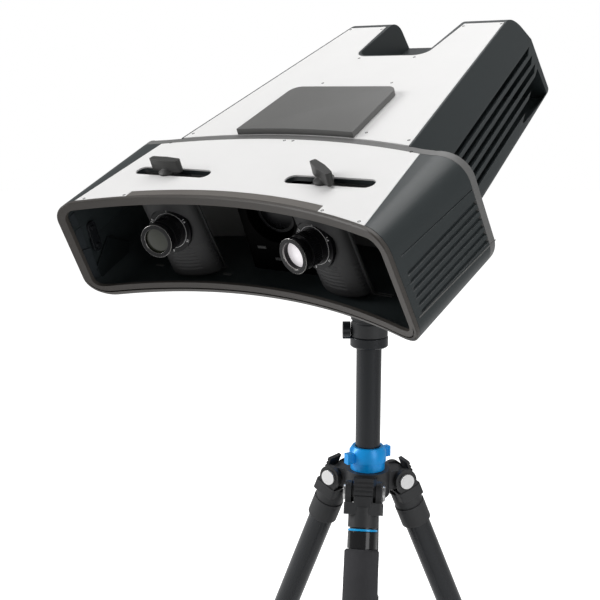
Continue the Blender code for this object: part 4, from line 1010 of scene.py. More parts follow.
def make_back_cap():
    """The plate that closes the back of the beam."""
    stations = []
    for share, inset in ((1 - cap_depth / beam_depth, 0.0), (1 - bezel_edge / beam_depth, 0.0),
                         (1.0, bezel_edge)):
        upper, lower, _ = beam_half_outline(share)
        top = [(upper[0][0] * part, 0.0, 0.0, 1.0, 0.0) for part in flat_shares]
        low = [(lower[-1][0] * part, -beam_height, 0.0, -1.0, 0.0) for part in flat_shares]
        top += [(*point, 0.0) for point in upper]
        low += [(*point, 0.0) for point in lower[::-1]]
        stations.append((section_points(mirrored(top, True), share, inset),
                         section_points(mirrored(low, True), share, inset)))
    cap = piece("beam_back_cap", strip_mesh(stations, front=1), scanner_frame, "cap_grey")
    # The cap's front face, inside the beam, takes the near-black painted shade
    cap.data.materials.append(materials["painted_shade_black"])


def arc_row(half, share, setback, steps=arch_steps * 2):
    """Plan points along the beam's curve, left to right."""
    places = [half * (2 * i / steps - 1) for i in range(steps + 1)]
    return [(x, beam_front_edge(x, share) + setback) for x in places]


def make_beam_plate():
    """The white top plate, cut round the visor strip and the lever slots."""
    front = (bezel_depth + gap) / beam_depth
    back = 1 - (cap_depth + gap) / beam_depth
    front_half = blend(beam_plate_half, front)
    back_half = blend(beam_plate_half, back)
    notch = arc_row(visor_half + gap, 0.0, visor_depth + gap)
    corner = visor_half + gap
    steps = corner_steps
    wing = [corner + (front_half - corner) * i / steps for i in range(steps + 1)]
    right = [(x, beam_front_edge(x, front)) for x in wing]
    left = [(-x, y) for x, y in right[::-1]]
    outline = left + notch + right
    outline += arc_row(back_half, back, 0.0)[::-1]
    holes = []
    for side in (-1, 1):
        centre = side * (slot_inner + slot_outer) / 2
        holes.append(stadium((centre, slot_centre), slot_outer - slot_inner, slot_width)[::-1])
    piece("beam_top_plate", slab_mesh([outline] + holes, -plate_thickness, 0.0), scanner_frame,
          "white_plate")
    strip = arc_row(visor_half, front, 0.0) + arc_row(visor_half, 0.0, visor_depth)[::-1]
    piece("visor_strip", slab_mesh([strip], -plate_thickness, 0.0), scanner_frame, "warm_grey_trim")


def pod_ring(height, inset):
    """A D-shaped pod section at a height below the top of the beam."""
    setback = -height * math.tan(pod_lean)
    half = pod_half_width - inset
    bulge = pod_bulge - inset
    made = []
    for i in range(small_steps + 1):
        angle = math.pi + math.pi * i / small_steps
        made.append((half * math.cos(angle), -pod_chord_setback + bulge * math.sin(angle) + setback, height))
    back = setback + pod_side_depth - pod_chord_setback
    made.append((half, back, height))
    made.append((-half, back, height))
    return made


def make_pod(side, name, hub, turn):
    """One camera pod on its slide, with its lens and lock lever."""
    roof = -(beam_wall + plate_thickness + gap + running_gap)
    toe = -side * pod_toe_in
    slide = frame(scanner_frame, (hub, slot_centre, 0), (0, 0, toe))
    rings = [pod_ring(roof, 0.0)]
    for i in range(pod_rib_count):
        top = -(pod_rib_top + pod_rib_pitch * i)
        rings.append(pod_ring(top, 0.0))
        rings.append(pod_ring(top - pod_rib_pitch / 2, pod_rib_depth))
    rings.append(pod_ring(pod_corner - pod_height, 0.0))
    rings.append(pod_ring(pod_corner / 4 - pod_height, pod_corner / 4))
    rings.append(pod_ring(-pod_height, pod_corner))
    pod = piece(name + "_camera_pod", ring_mesh(rings), slide, "pod_grey")
    carriage = tool(name + "_carriage", box_mesh(
        (-carriage_half_width, -pod_chord_setback, roof - carriage_height),
        (carriage_half_width, carriage_back, roof)), slide)
    front = pod_side_depth - pod_chord_setback - pod_plate_thickness / 2
    plate_rows = []
    for depth in (front, front + pod_plate_thickness * 3 / 2):
        plate_rows.append([(x, depth - z * math.tan(pod_lean), z) for x, z in (
            (-pod_plate_half_width, roof), (pod_plate_half_width, roof),
            (pod_plate_half_width, -pod_height), (-pod_plate_half_width, -pod_height))])
    plate = tool(name + "_back_plate", ring_mesh(plate_rows), slide)
    stud_hole = tool(name + "_stud_hole", bore_mesh(
        (0, 0, roof - stud_length - gap), (0, 0, overrun), stud_radius + gap, small_steps), slide)
    join(pod, plate, carriage)
    lens = frame(slide, (0, -lens_tip_forward, -lens_tip_drop),
                 (math.pi / 2 - lens_rise, 0, 0))
    seat = tool(name + "_lens_seat", bore_mesh(
        (0, 0, -lens_flange_setback - lens_flange_depth - gap), (0, 0, overrun),
        lens_flange_radius + gap), lens)
    bore = tool(name + "_lens_bore", bore_mesh(
        (0, 0, -lens_length - gap), (0, 0, overrun), lens_barrel_radius + gap), lens)
    cut(pod, stud_hole, seat, bore)
    make_lens(name, lens)
    make_lever(name, slide, turn - toe, roof)


def make_lens(name, lens):
    """Barrel with its flange and scale, focus ring and front glass, along its own axis."""
    ring_top = -focus_ring_setback
    ring_low = ring_top - focus_ring_width
    flange_top = -lens_flange_setback
    flange_low = flange_top - lens_flange_depth
    barrel = [
        (lens_mouth_radius, 0.0), (lens_radius, 0.0), (lens_radius, -lens_front_ring),
        (lens_barrel_radius, -lens_front_ring), (focus_seat_radius, ring_top + gap),
        (focus_seat_radius, ring_low - gap), (lens_radius, ring_low - gap),
        (lens_radius, flange_top), (lens_flange_radius, flange_top),
        (lens_flange_radius, flange_low), (lens_barrel_radius, flange_low),
        (lens_barrel_radius, -lens_length), (0.0, -lens_length)]
    deep = mouth_depth[name]
    mouth = [(0.0, -deep), (lens_mouth_radius, -deep)]
    turned(name + "_lens_barrel", mouth + barrel, lens, "lens_black")
    outline = []
    for i in range(focus_knurls * 2):
        angle = math.tau * i / (focus_knurls * 2)
        radius = focus_ring_radius - (focus_knurl_depth if i % 2 else 0.0)
        outline.append((radius * math.cos(angle), radius * math.sin(angle)))
    hole = round_hole((0, 0), focus_seat_radius + gap, round_steps)
    piece(name + "_focus_ring", slab_mesh([outline, hole], ring_low, ring_top), lens, "lens_black")
    make_scale(name, lens)
    floor = gap - deep
    dome = floor + glass_thickness
    turned(name + "_lens_glass", [
        (0.0, dome + glass_dome), (glass_radius / 2, dome + glass_dome * 3 / 4),
        (glass_radius, dome), (glass_radius, floor), (0.0, floor)], lens,
        "glass_olive" if name == "left" else "glass_bright")


def make_lever(name, slide, turn, roof):
    """The wing lever that clamps a pod through its slot."""
    hub = frame(slide, (0, 0, 0), (0, 0, turn))
    lever = turned(name + "_lock_lever", [
        (0.0, wing_lift + overrun / 2), (lever_disc_radius / 2, wing_lift + overrun / 2),
        (lever_disc_radius, wing_lift), (lever_disc_radius, gap), (stud_radius, gap),
        (stud_radius, roof - stud_length), (0.0, roof - stud_length)], hub, "lever_black",
        steps=small_steps)
    half = wing_length / 2
    end = wing_thickness * wing_end_share / 2
    waist = wing_thickness / 2
    outline = rounded_outline(
        [(-half, -end), (0.0, -waist), (half, -end), (half, end), (0.0, waist), (-half, end)],
        [end * wing_end_share, 0, end * wing_end_share, end * wing_end_share, 0, end * wing_end_share], 3)
    wing = tool(name + "_wing", slab_mesh([outline], wing_lift, wing_lift + wing_height), hub)
    join(lever, wing)


def make_projector():
    """The projector's housing behind the cameras' path, near-black with painted shade, and its lens."""
    floor = beam_wall + gap - beam_height
    low = (-projector_half_width, projector_front, floor)
    high = (projector_half_width, projector_back, -projector_top)
    # The housing is painted near-black as shade, so that it hides in the dark of the beam
    housing = piece("projector_housing", box_mesh(low, high, projector_corner), scanner_frame,
                    "painted_shade_black")
    middle = -projector_height
    bore_end = projector_front + projector_bore_depth
    cut(housing, tool("projector_bore", rod_mesh(
        (0, projector_front - overrun, middle), (0, bore_end, middle), projector_bore), scanner_frame))
    lens = frame(scanner_frame, (0, bore_end - gap, middle), (math.pi / 2, 0, 0))
    face = projector_lens_radius - projector_rim
    turned("projector_lens", [
        (0.0, projector_lens_length), (face, projector_lens_length - projector_dish),
        (face, projector_lens_length), (projector_lens_radius, projector_lens_length),
        (projector_lens_radius, 0.0), (0.0, 0.0)], lens, "lens_black")


def make_side_plate():
    """The adjustment plate and its two pins on the left inner wall."""
    share = side_plate_setback / beam_depth
    wide, height, out, rise = beam_half_outline(share)[2](-side_plate_drop)
    spread = beam_half_outline(1.0)[2](-side_plate_drop)[0] - wide
    turn = math.atan2(spread, beam_depth * (1 - share))
    wall = beam_wall + plate_thickness + gap * 2
    place = beam_point(out * wall - wide, height - rise * wall, share)
    seat = frame(scanner_frame, place,
                 (0, math.pi / 2 + math.atan2(rise, out), turn))
    outline = stadium((0, 0), side_plate_length, side_plate_width)
    plate = piece("left_adjust_plate", slab_mesh([outline], 0.0, side_plate_thickness), seat,
                  "satin_black")
    for end in (-1, 1):
        pin_place = end * side_pin_spacing / 2
        pin = tool("adjust_pin", rod_mesh(
            (pin_place, 0, side_plate_thickness / 2),
            (pin_place, 0, side_plate_thickness + side_pin_height), side_pin_radius,
            steps=small_steps), seat)
        join(plate, pin)


def rear_half(back):
    """Half width of the rear white plate at a distance behind the beam's front edge."""
    return rear_plate_half - rear_taper * (back - rear_plate_start)


def rear_halves(back, wall):
    """Right halves of the rear housing's section, roof and floor, each from its middle to the side."""
    edge = rear_half(back) + rear_rim - wall
    shoulder = (edge + rear_chamfer[0], -rear_chamfer[1])
    foot = (shoulder[0] + rear_flare, wall - rear_height)
    corner = rounded_outline([shoulder, foot, (0.0, foot[1])], [0, rear_bottom_corner, 0])[1:-1]
    side = [(blend((shoulder[0], corner[0][0]), i / corner_steps),
             blend((shoulder[1], corner[0][1]), i / corner_steps)) for i in range(corner_steps)]
    roof = [(edge * i / arch_steps, -wall) for i in range(arch_steps + 1)] + side
    floor = [(corner[-1][0] * i / arch_steps, foot[1]) for i in range(arch_steps)] + corner[::-1]
    return roof, floor


def rear_station(back, wall=0.0, slope=0.0, setback=gap):
    """Roof and floor rows of the rear housing; with no distance they follow the back of the beam."""
    rows = []
    for half in rear_halves(rear_plate_start if back is None else back, wall):
        row = [(-u, w) for u, w in half[1:]][::-1] + half
        placed = []
        for u, w in row:
            if back is None:
                placed.append((u, beam_front_edge(u, 1.0) + setback, w))
            else:
                placed.append((u, back - slope * w / rear_height, w))
        rows.append(placed)
    return rows


def rear_plate_outline(grow):
    """Plan of the rear white plate, grown by a clearance."""
    back = rear_plate_end + grow
    front_half = rear_half(rear_plate_start) + grow
    row = [(x, beam_front_edge(x, 1.0) + gap * 2 - grow * 4)
           for x in (front_half * (2 * i / (arch_steps * 2) - 1) for i in range(arch_steps * 2 + 1))]
    notch = [(notch_half[1] + notch_rim - grow, back), (notch_half[0] + notch_rim - grow,
                                                       notch_front - notch_rim + grow)]
    notch += [(-x, y) for x, y in notch[::-1]]
    rim = rear_half(back) + grow
    cut_out = rounded_outline(
        [(rim, back), *notch, (-rim, back)], [0, 0, notch_corner, notch_corner, 0, 0])
    return row + cut_out


def notch_outline(grow, reach):
    """Plan of the open recess at the rear, grown for its walls."""
    wide = notch_half[1] + grow
    corners = [(wide, reach), (notch_half[0] + grow, notch_front - grow),
               (-notch_half[0] - grow, notch_front - grow), (-wide, reach)]
    return rounded_outline(corners, [0, notch_corner, notch_corner, 0])


def mount_seat(grow):
    """The block that clears the mounting plate under the rear housing."""
    half = mount_recess_half + grow
    return box_mesh((-half, mount_forward - half, -rear_height - overrun),
                    (half, mount_forward + half, mount_recess + grow - rear_height))


def make_rear_body():
    """The hollow rear housing with its chamfers, louvres, rounded tail and top recess."""
    body = piece("rear_body", strip_mesh([rear_station(None), rear_station(rear_round_start),
                                          rear_station(rear_length)]), scanner_frame, "dark_shell")
    cavity_end = rear_cavity_end - rear_cavity_slope
    cavity = tool("rear_cavity", strip_mesh([
        rear_station(None, rear_wall, setback=-overrun),
        rear_station(cavity_end, rear_wall, rear_cavity_slope)]), scanner_frame)
    reach = rear_length + overrun
    cut(cavity, tool("notch_walls", slab_mesh(
        [notch_outline(rear_wall, reach)], -notch_depth - rear_wall, overrun), scanner_frame))
    cut(cavity, tool("seat_walls", mount_seat(rear_wall), scanner_frame))
    notch = tool("notch", slab_mesh([notch_outline(0.0, reach)], -notch_depth, overrun), scanner_frame)
    tail = rounded_outline(
        [(0.0, 0.0), (rear_length - rear_tail_lean, 0.0), (rear_length, -rear_height),
         (0.0, -rear_height)], [0, rear_round, rear_tail_corner, 0], corner_steps * 2)[1:-1]
    under = -rear_height - overrun
    tail += [(tail[-1][0], under), (reach, under), (reach, overrun), (tail[0][0], overrun)]
    wide = rear_plate_half + rear_chamfer[0] + rear_flare
    tail_cutter = tool("tail_round", slab_mesh([tail], -wide, wide), scanner_frame,
                       rotation=(math.pi / 2, 0, math.pi / 2))
    pocket = tool("rear_plate_pocket", slab_mesh(
        [rear_plate_outline(gap)], -plate_thickness - gap, overrun), scanner_frame)
    cut(body, cavity, notch, tail_cutter, pocket, tool("mount_seat", mount_seat(0.0), scanner_frame))
    for side, name in ((-1, "left"), (1, "right")):
        cut(body, louvre_cutter(side, name))
    piece("rear_top_plate", slab_mesh([rear_plate_outline(0.0)], -plate_thickness, 0.0),
          scanner_frame, "white_plate")


def louvre_cutter(side, name):
    """Long slanted-ended slots down one flank of the rear housing."""
    lean = math.atan2(rear_flare, rear_height - rear_chamfer[1])
    work = bmesh.new()
    for i in range(louvre_count):
        top = -(louvre_top + louvre_pitch * i)
        low = top - louvre_height
        end = louvre_back + louvre_step * i
        outline = [(louvre_front, top), (end, top), (end - louvre_slant, low),
                   (louvre_front, low)]
        rings = []
        for depth in (-louvre_depth, overrun):
            ring = []
            for back, height in outline:
                wall = rear_half(back) + rear_rim + rear_chamfer[0]
                out = wall - (height + rear_chamfer[1]) * math.tan(lean) + depth
                ring.append((side * out, back, height))
            rings.append(ring)
        solid = ring_mesh(rings)
        work.from_mesh(solid)
        bpy.data.meshes.remove(solid)
    return tool(name + "_louvres", mesh_from(work), scanner_frame)


def make_raised_panel():
    """The raised panel on the rear plate, against the back of the beam."""
    front_half, back_half = panel_half
    row = [(x, beam_front_edge(x, 1.0) + gap * 2)
           for x in (front_half * (2 * i / arch_steps - 1) for i in range(arch_steps + 1))]
    corners = rounded_outline(
        [row[-1], (back_half, panel_back), (-back_half, panel_back), row[0]],
        [0, panel_corner, panel_corner, 0])
    outline = row[1:-1] + corners
    piece("raised_panel", slab_mesh([outline], gap, gap + panel_height), scanner_frame, "panel_grey",
          soft=panel_bevel)


def knob_outline(radius, steps_per_lobe=3):
    """A grip outline with shallow lobes."""
    count = knob_lobes * steps_per_lobe
    made = []
    for i in range(count):
        angle = math.tau * i / count
        reach = radius - knob_lobe_depth * (1 + math.cos(angle * knob_lobes)) / 2
        made.append((reach * math.cos(angle), reach * math.sin(angle)))
    return made


def make_knob(name, parent, radius, length, stem_radius, stem_length, location, rotation):
    """A lobed knob on a stem, its axis along local Z away from its seat."""
    axis = frame(parent, location, rotation)
    knob = piece(name, slab_mesh([knob_outline(radius)], 0.0, length), axis, "satin_black")
    stem = tool(name + "_stem", rod_mesh((0, 0, -stem_length), (0, 0, length / 2), stem_radius,
                                         steps=small_steps), axis)
    join(knob, stem)


def make_head():
    """The three-way head between the column and the scanner."""
    groove = head_base_radius - head_base_groove
    middle = head_base_height / 2 + pan_knob_radius / 2
    base = turned("head_base", [
        (0.0, head_base_height), (head_base_radius, head_base_height),
        (head_base_radius, middle + head_base_groove * 2), (groove, middle + head_base_groove),
        (groove, middle), (head_base_radius, middle - head_base_groove), (head_base_radius, gap),
        (0.0, gap)], pan_axis, "cast_black")
    out = Vector((math.sin(pan_knob_azimuth), -math.cos(pan_knob_azimuth), 0))
    knob_height = Vector((0, 0, pan_knob_height))
    seat = head_base_radius + running_gap
    cut(base, tool("pan_knob_hole", bore_mesh(
        out * (seat - knob_stem_length - gap) + knob_height, out * (seat + overrun) + knob_height,
        knob_stem_radius / 2 + gap, small_steps), pan_axis))
    make_knob("pan_lock_knob", pan_axis, pan_knob_radius, pan_knob_length, knob_stem_radius / 2,
              knob_stem_length, out * seat + knob_height,
              (math.pi / 2, 0, pan_knob_azimuth))
    make_pan_body()
    make_tilt_body()
    make_side_cradle()


def make_pan_body():
    low = head_base_height + running_gap - tilt_axis_height
    level = frame(pan_axis, (0, 0, tilt_axis_height))
    body = turned("pan_body", [
        (0.0, low + pan_disc_height), (pan_neck_radius, low + pan_disc_height),
        (pan_neck_radius, low), (0.0, low)], level, "cast_black")
    half = pan_pillar[0] / 2
    outline = arch_outline(pan_pillar[1] / 2, tilt_barrel_radius, low + pan_disc_height / 2)
    join(body, tool("pan_pillar", across_mesh([outline], -half, half), level))


def make_tilt_body():
    """Two cheeks on the pan barrel, a bridge over it and the side-tilt barrel."""
    inner = pan_pillar[0] / 2 + running_gap
    outer = inner + tilt_cheek
    body = piece("tilt_body", box_mesh((-outer, -tilt_bridge_half, tilt_bridge[0]),
                                       (outer, tilt_bridge_half, tilt_bridge[1])), tilt_axis,
                 "cast_black")
    foot = (tilt_bridge[0] + tilt_bridge[1]) / 2
    outline = arch_outline(tilt_bridge_half * tilt_web_share, tilt_barrel_radius, foot)
    for side in (-1, 1):
        near, far = sorted((side * inner, side * (outer - tilt_cheek_step)))
        join(body, tool("tilt_cheek", across_mesh([outline], near, far), tilt_axis))
    half = side_barrel_length / 2
    join(body, tool("side_barrel", rod_mesh(
        (0, -half, side_axis_height), (0, half, side_axis_height), side_barrel_radius), tilt_axis))
    outer -= tilt_cheek_step
    hole_end = outer - knob_stem_length - gap
    cut(body, tool("tilt_knob_hole", bore_mesh(
        (hole_end, 0, 0), (outer + overrun, 0, 0), knob_stem_radius + gap, small_steps), tilt_axis))
    make_knob("tilt_lock_knob", tilt_axis, knob_radius, knob_length, knob_stem_radius,
              knob_stem_length, (outer + running_gap, 0, 0), (0, math.pi / 2, 0))


def make_side_cradle():
    """Two cheeks on the side barrel and the platform for the mounting plate."""
    inner = side_barrel_length / 2 + running_gap
    outer = inner + side_cheek
    low = side_platform[0] - side_axis_height
    high = side_platform[1] - side_axis_height
    cradle = piece("side_tilt_cradle", box_mesh(
        (-side_platform_half, -outer, low), (side_platform_half, outer, high)), side_axis, "cast_black")
    outline = arch_outline(side_barrel_radius * side_web_share, side_barrel_radius, (low + high) / 2)
    for side in (-1, 1):
        near, far = sorted((side * inner, side * (outer - tilt_cheek_step)))
        join(cradle, tool("side_cheek", along_mesh([outline], near, far), side_axis))
    outer -= tilt_cheek_step
    cut(cradle, tool("side_knob_hole", bore_mesh(
        (0, outer - knob_stem_length - gap, 0), (0, outer + overrun, 0), knob_stem_radius + gap,
        small_steps), side_axis))
    make_knob("side_lock_knob", side_axis, knob_radius, knob_length, knob_stem_radius,
              knob_stem_length, (0, outer + running_gap, 0), (-math.pi / 2, 0, 0))
    width, depth = mount_plate
    top = underside_height - side_axis_height - gap
    piece("mounting_plate", box_mesh((-width / 2, -depth / 2, high + gap), (width / 2, depth / 2, top),
                                     mount_plate_corner), side_axis, "satin_black")


def make_column():
    """Centre column with its top plate, bag hook and twist collar."""
    inner = column_radius - column_wall
    foot = column_top - column_length
    turned("column_tube", tube_profile(inner, column_radius, column_top - gap, foot), column_axis,
           "satin_black", closed=True)
    edge = column_plate_edge
    plate_top = column_top + column_plate_height
    turned("column_top_plate", [
        (0.0, plate_top), (column_plate_radius - edge, plate_top),
        (column_plate_radius, plate_top - edge),
        (column_plate_radius, column_top + edge), (column_plate_radius - edge, column_top),
        (inner - gap, column_top), (inner - gap, column_top - column_plug_depth),
        (0.0, column_top - column_plug_depth)], column_axis, "satin_black")
    hook = turned("column_hook", [
        (0.0, foot + column_plug_depth), (inner - gap, foot + column_plug_depth),
        (inner - gap, foot - gap), (hook_disc_radius, foot - gap),
        (hook_disc_radius, foot - hook_disc_height), (0.0, foot - hook_disc_height)], column_axis,
        "cast_black", steps=small_steps)
    ring = bpy.data.curves.new("hook_ring", "CURVE")
    ring.dimensions = "3D"
    ring.bevel_depth = hook_wire
    ring.bevel_resolution = 1
    ring.use_fill_caps = True
    centre = (0.0, foot - hook_disc_height - hook_ring_radius + hook_wire)
    points = arc_points(centre, hook_ring_radius, 0, math.tau, small_steps)[:-1]
    closed_spline(ring, [(x, 0, z) for x, z in points])
    join(hook, tool("hook_eye", curve_mesh(ring), column_axis))
    make_collar()


def make_collar():
    bore = column_radius + running_gap
    collar = turned("column_collar", [
        (collar_top_radius, collar_top), (collar_radius, collar_shoulder),
        (collar_radius, collar_foot), (collar_foot_radius, collar_foot),
        (collar_foot_radius, collar_bottom), (bore, collar_bottom), (bore, collar_top)],
        spider_frame, "blue_anodised", closed=True)
    thick, deep, tall = collar_lug
    for side in (-1, 1):
        lug = box_mesh((side * collar_lug_reach - thick / 2, -deep / 2, collar_foot),
                       (side * collar_lug_reach + thick / 2, deep / 2, collar_foot + tall))
        join(collar, tool("collar_lug", lug, spider_frame, rotation=(0, 0, collar_lug_azimuth)))
    for side, step, face in ((a, b, c) for a in (-1, 1) for b in (-1, 0, 1) for c in (-1, 1)):
        middle = side * (collar_lug_reach + step * ridge_pitch)
        near, far = sorted((face * (deep / 2 - ridge_depth), face * deep))
        ridge = box_mesh((middle - ridge_half, near, collar_foot - ridge_depth),
                         (middle + ridge_half, far, collar_foot + tall + ridge_depth))
        cut(collar, tool("ridge", ridge, spider_frame, rotation=(0, 0, collar_lug_azimuth)))


def make_spider():
    """The apex casting with three arms and a bore for the column."""
    bore = column_radius + running_gap
    spider = turned("spider", [
        (spider_hub_radius, spider_top), (spider_hub_radius, spider_bottom),
        (bore, spider_bottom), (bore, spider_top)], spider_frame, "cast_black", closed=True)
    for i, azimuth in enumerate(leg_azimuths):
        heading = (0, 0, math.pi + azimuth)
        eye = arc_points((pivot_radius, 0), arm_eye_radius, math.pi / 2 - arm_lean,
                         -math.pi / 2 - arm_lean, small_steps)
        root = bore + column_wall
        outline = [(root, arm_top)] + eye + [(root, -arm_root_drop)]
        bolt_way = round_hole((pivot_radius, 0), bolt_shank + gap)
        arm = across_mesh([outline, bolt_way], -arm_half_width, arm_half_width)
        join(spider, tool("arm_%d" % (i + 1), arm, spider_frame, rotation=heading))


def make_leg(index, azimuth):
    """One leg: casting, bolt, angle tab, three tubes, two twist locks and the rubber foot."""
    number = "_%d" % index
    heading = frame(spider_frame, (0, 0, 0), (0, 0, math.pi + azimuth))
    leg = frame(heading, (0, pivot_radius, 0), (leg_splay, 0, 0))
    make_casting(number, leg, sleeve_end[0] if index == 1 else sleeve_end[1])
    make_leg_tubes(number, leg, index == 1)


def make_casting(number, leg, end):
    """A leg's forked casting with its pivot bolt and angle tab."""
    inner = arm_half_width + running_gap
    outer = inner + cheek_thickness
    deep = casting_half_depth
    wide = outer + casting_shoulder
    casting = piece("leg_casting" + number, box_mesh(
        (-wide, -casting_inner_depth, -casting_bottom), (wide, deep, -arm_eye_radius - gap * 2),
        casting_corner), leg, "cast_black")
    outline = arch_outline(cheek_radius * web_share, cheek_radius, -casting_bottom * 2 / 3)
    pivot_way = round_hole((0, 0), bolt_shank + gap)
    for side in (-1, 1):
        near, far = sorted((side * inner, side * outer))
        join(casting, tool("ear", across_mesh([outline, pivot_way], near, far), leg))
    join(casting, tool("neck" + number, rod_mesh(
        (0, 0, -casting_bottom * 2 / 3), (0, 0, -min(end, sleeve_step)), sleeve_radius[0],
        steps=leg_steps), leg))
    if end > sleeve_step + overrun:
        join(casting, tool("sleeve" + number, rod_mesh(
            (0, 0, -sleeve_step + gap), (0, 0, -end), sleeve_radius[1], steps=leg_steps), leg))
    cut(casting, tool("tube_socket" + number, bore_mesh(
        (0, 0, -socket_start), (0, 0, -end - overrun), upper_tube_radius + gap, leg_steps), leg))
    bolt = piece("pivot_bolt" + number, rod_mesh(
        (-outer - running_gap, 0, 0), (outer + running_gap, 0, 0), bolt_shank, steps=small_steps), leg,
        "bright_steel")
    for side in (-1, 1):
        near = side * (outer + gap)
        join(bolt, tool("bolt_head", rod_mesh((near, 0, 0), (near + side * bolt_head, 0, 0),
                                              bolt_radius, steps=small_steps), leg))
    join(casting, tool("tab_rest" + number, box_mesh(
        (-tab_half_width, tab_seat, -casting_bottom * 2 / 3),
        (tab_half_width, deep - casting_shoulder, -tab_drop - gap)), leg))
    catch = frame(leg, (0, tab_seat, -tab_drop))
    tab = piece("angle_tab" + number, box_mesh(
        (-tab_half_width, 0, 0), (tab_half_width, tab_thickness, tab_height)), catch, "cast_black")
    make_crest(leg, number)
    pitch = tab_height / (tab_rib_count + 1)
    for i in range(tab_rib_count):
        place = pitch * (i + 1)
        groove = box_mesh((-tab_half_width - overrun, tab_thickness - tab_rib_depth, place - pitch / 4),
                          (tab_half_width + overrun, tab_thickness + overrun, place + pitch / 4))
        cut(tab, tool("tab_groove", groove, catch))


def make_lock(name, leg, radius, outer_tube, inner_tube, lap, end):
    """A twist lock round a tube's end, necked to the next tube."""
    top = -(end - lap)
    low = -(end + lock_overhang / 2)
    step = -(end + gap)
    turned(name, [
        (radius, top), (radius, low + lock_edge), (radius - lock_edge, low),
        (inner_tube + running_gap, low), (inner_tube + running_gap, step),
        (outer_tube + running_gap, step), (outer_tube + running_gap, top)], leg, "rubber_black",
        steps=leg_steps, closed=True)


def make_leg_tubes(number, leg, has_grip):
    """The nested leg tubes, pushed in, with their locks."""
    top = -(socket_start + gap)
    bore = upper_tube_radius - tube_wall
    profile = tube_profile(bore, upper_tube_radius, top, -upper_tube_end)
    if has_grip:
        collar_top_height, collar_low_height = (-height for height in leg_collar)
        band_height = collar_top_height - leg_collar_band
        groove_radius = leg_collar_radius - leg_collar_groove
        profile = [
            (upper_tube_radius, top), (upper_tube_radius, collar_top_height),
            (leg_collar_radius, collar_top_height), (leg_collar_radius, band_height),
            (groove_radius, band_height - leg_collar_groove / 2),
            (leg_collar_radius, band_height - leg_collar_groove),
            (leg_collar_radius, collar_low_height),
            (upper_tube_radius, collar_low_height), (upper_tube_radius, -upper_tube_end),
            (bore, -upper_tube_end), (bore, top)]
        make_bands(leg)
    turned("upper_leg_tube" + number, profile, leg, "satin_black", leg_steps, closed=True)
    turned("middle_leg_tube" + number, tube_profile(
        middle_tube_radius - tube_wall, middle_tube_radius, -middle_tube_start, -middle_tube_end), leg,
        "satin_black", leg_steps, closed=True)
    make_lock("upper_twist_lock" + number, leg, lock_radius[0], upper_tube_radius,
              middle_tube_radius, lock_lap, upper_tube_end)
    make_lock("lower_twist_lock" + number, leg, lock_radius[1], middle_tube_radius,
              lower_tube_radius, lock_lap_short, middle_tube_end)
    ball = arc_points((0.0, -foot_centre), foot_radius, math.pi / 4, -math.pi / 2, corner_steps + 1)
    foot = turned("lower_leg_tube" + number, [
        (0.0, -lower_tube_start), (lower_tube_radius, -lower_tube_start),
        (lower_tube_radius, -foot_top - gap), (foot_neck_radius, -foot_top - gap)] + ball[:-1]
        + [(0.0, ball[-1][1])], leg, "satin_black", leg_steps)
    cut(foot, floor_cutter)
    if has_grip:
        soft = foam_edge
        start, end = (-height for height in foam)
        turned("foam_grip", [
            (foam_radius - soft, start), (foam_radius, start - soft), (foam_radius, end + soft),
            (foam_radius - soft, end), (upper_tube_radius + gap, end),
            (upper_tube_radius + gap, start)], leg, "foam_black", leg_steps, closed=True)


# Small things that only show
screw_radius = 0.0015
screw_rim = 0.85
screw_places = (
    (0.0958, 0.3948), (0.0522, 0.3923), (0.0343, 0.3088), (0.0420, 0.2441), (0.0752, 0.1336),
    (0.1265, 0.1214), (0.1400, 0.1000), (0.0050, 0.1130), (0.1125, -0.0060), (0.1550, -0.0180))
trim_line = (0.0855, 0.0895)
trim_shares = (0.06, 0.995)
trim_radius = 0.0006
print_lift = 0.00012
print_ring = 0.0176
print_width = 0.00035
number_size = 0.0036
number_reach = 0.0201
scale_start = math.radians(-62)
scale_numbers = ("1.4", "2", "2.8", "4", "8", "16")
rim_width = 0.0009
wall_quads = (
    ((-0.0243, -0.0184), (-0.0150, -0.0182), (-0.0137, -0.0342), (-0.0233, -0.0301)),
    ((-0.0221, -0.0356), (-0.0130, -0.0362), (-0.0131, -0.0606), (-0.0280, -0.0548)),
    ((-0.0209, -0.0592), (-0.0099, -0.0626), (-0.0090, -0.0986), (-0.0211, -0.0925)))
wall_patch = ((0.0171, -0.0655), (0.0447, -0.0872), (0.0377, -0.1055), (0.0210, -0.1098),
              (-0.0043, -0.1068), (-0.0122, -0.0880))
wall_lift = 0.0006
wall_rounds = 6
wall_first_share = 0.1
wall_last_share = 0.95
mark_size = (0.0100, 0.0028, 0.0010)
floor_marks = ((-0.0609, 0.0397), (0.0198, 0.0709), (-0.1516, 0.0405))
face_marks = ((-0.0201, -0.0859), (-0.0021, -0.0977))
foot_line = ((0.1062, 0.0386), (0.1301, 0.0369))
foot_line_step = 0.0026
ridge_pitch = 0.0026
ridge_half = 0.0005
ridge_depth = 0.0007
crest_half = (0.0102, 0.0074)
crest_span = (0.0046, 0.0232)
crest_rise = 0.0004
band_lift = 0.0002
band_step = 1.4


def merged(meshes):
    """Several meshes as one."""
    work = bmesh.new()
    for mesh in meshes:
        work.from_mesh(mesh)
    made = bpy.data.meshes.new("merged")
    work.to_mesh(made)
    work.free()
    return made


def moved(mesh, *steps):
    """A mesh after the given moves, the last one first."""
    turn = Matrix.Identity(4)
    for step in steps:
        turn = turn @ step
    mesh.transform(turn)
    return mesh


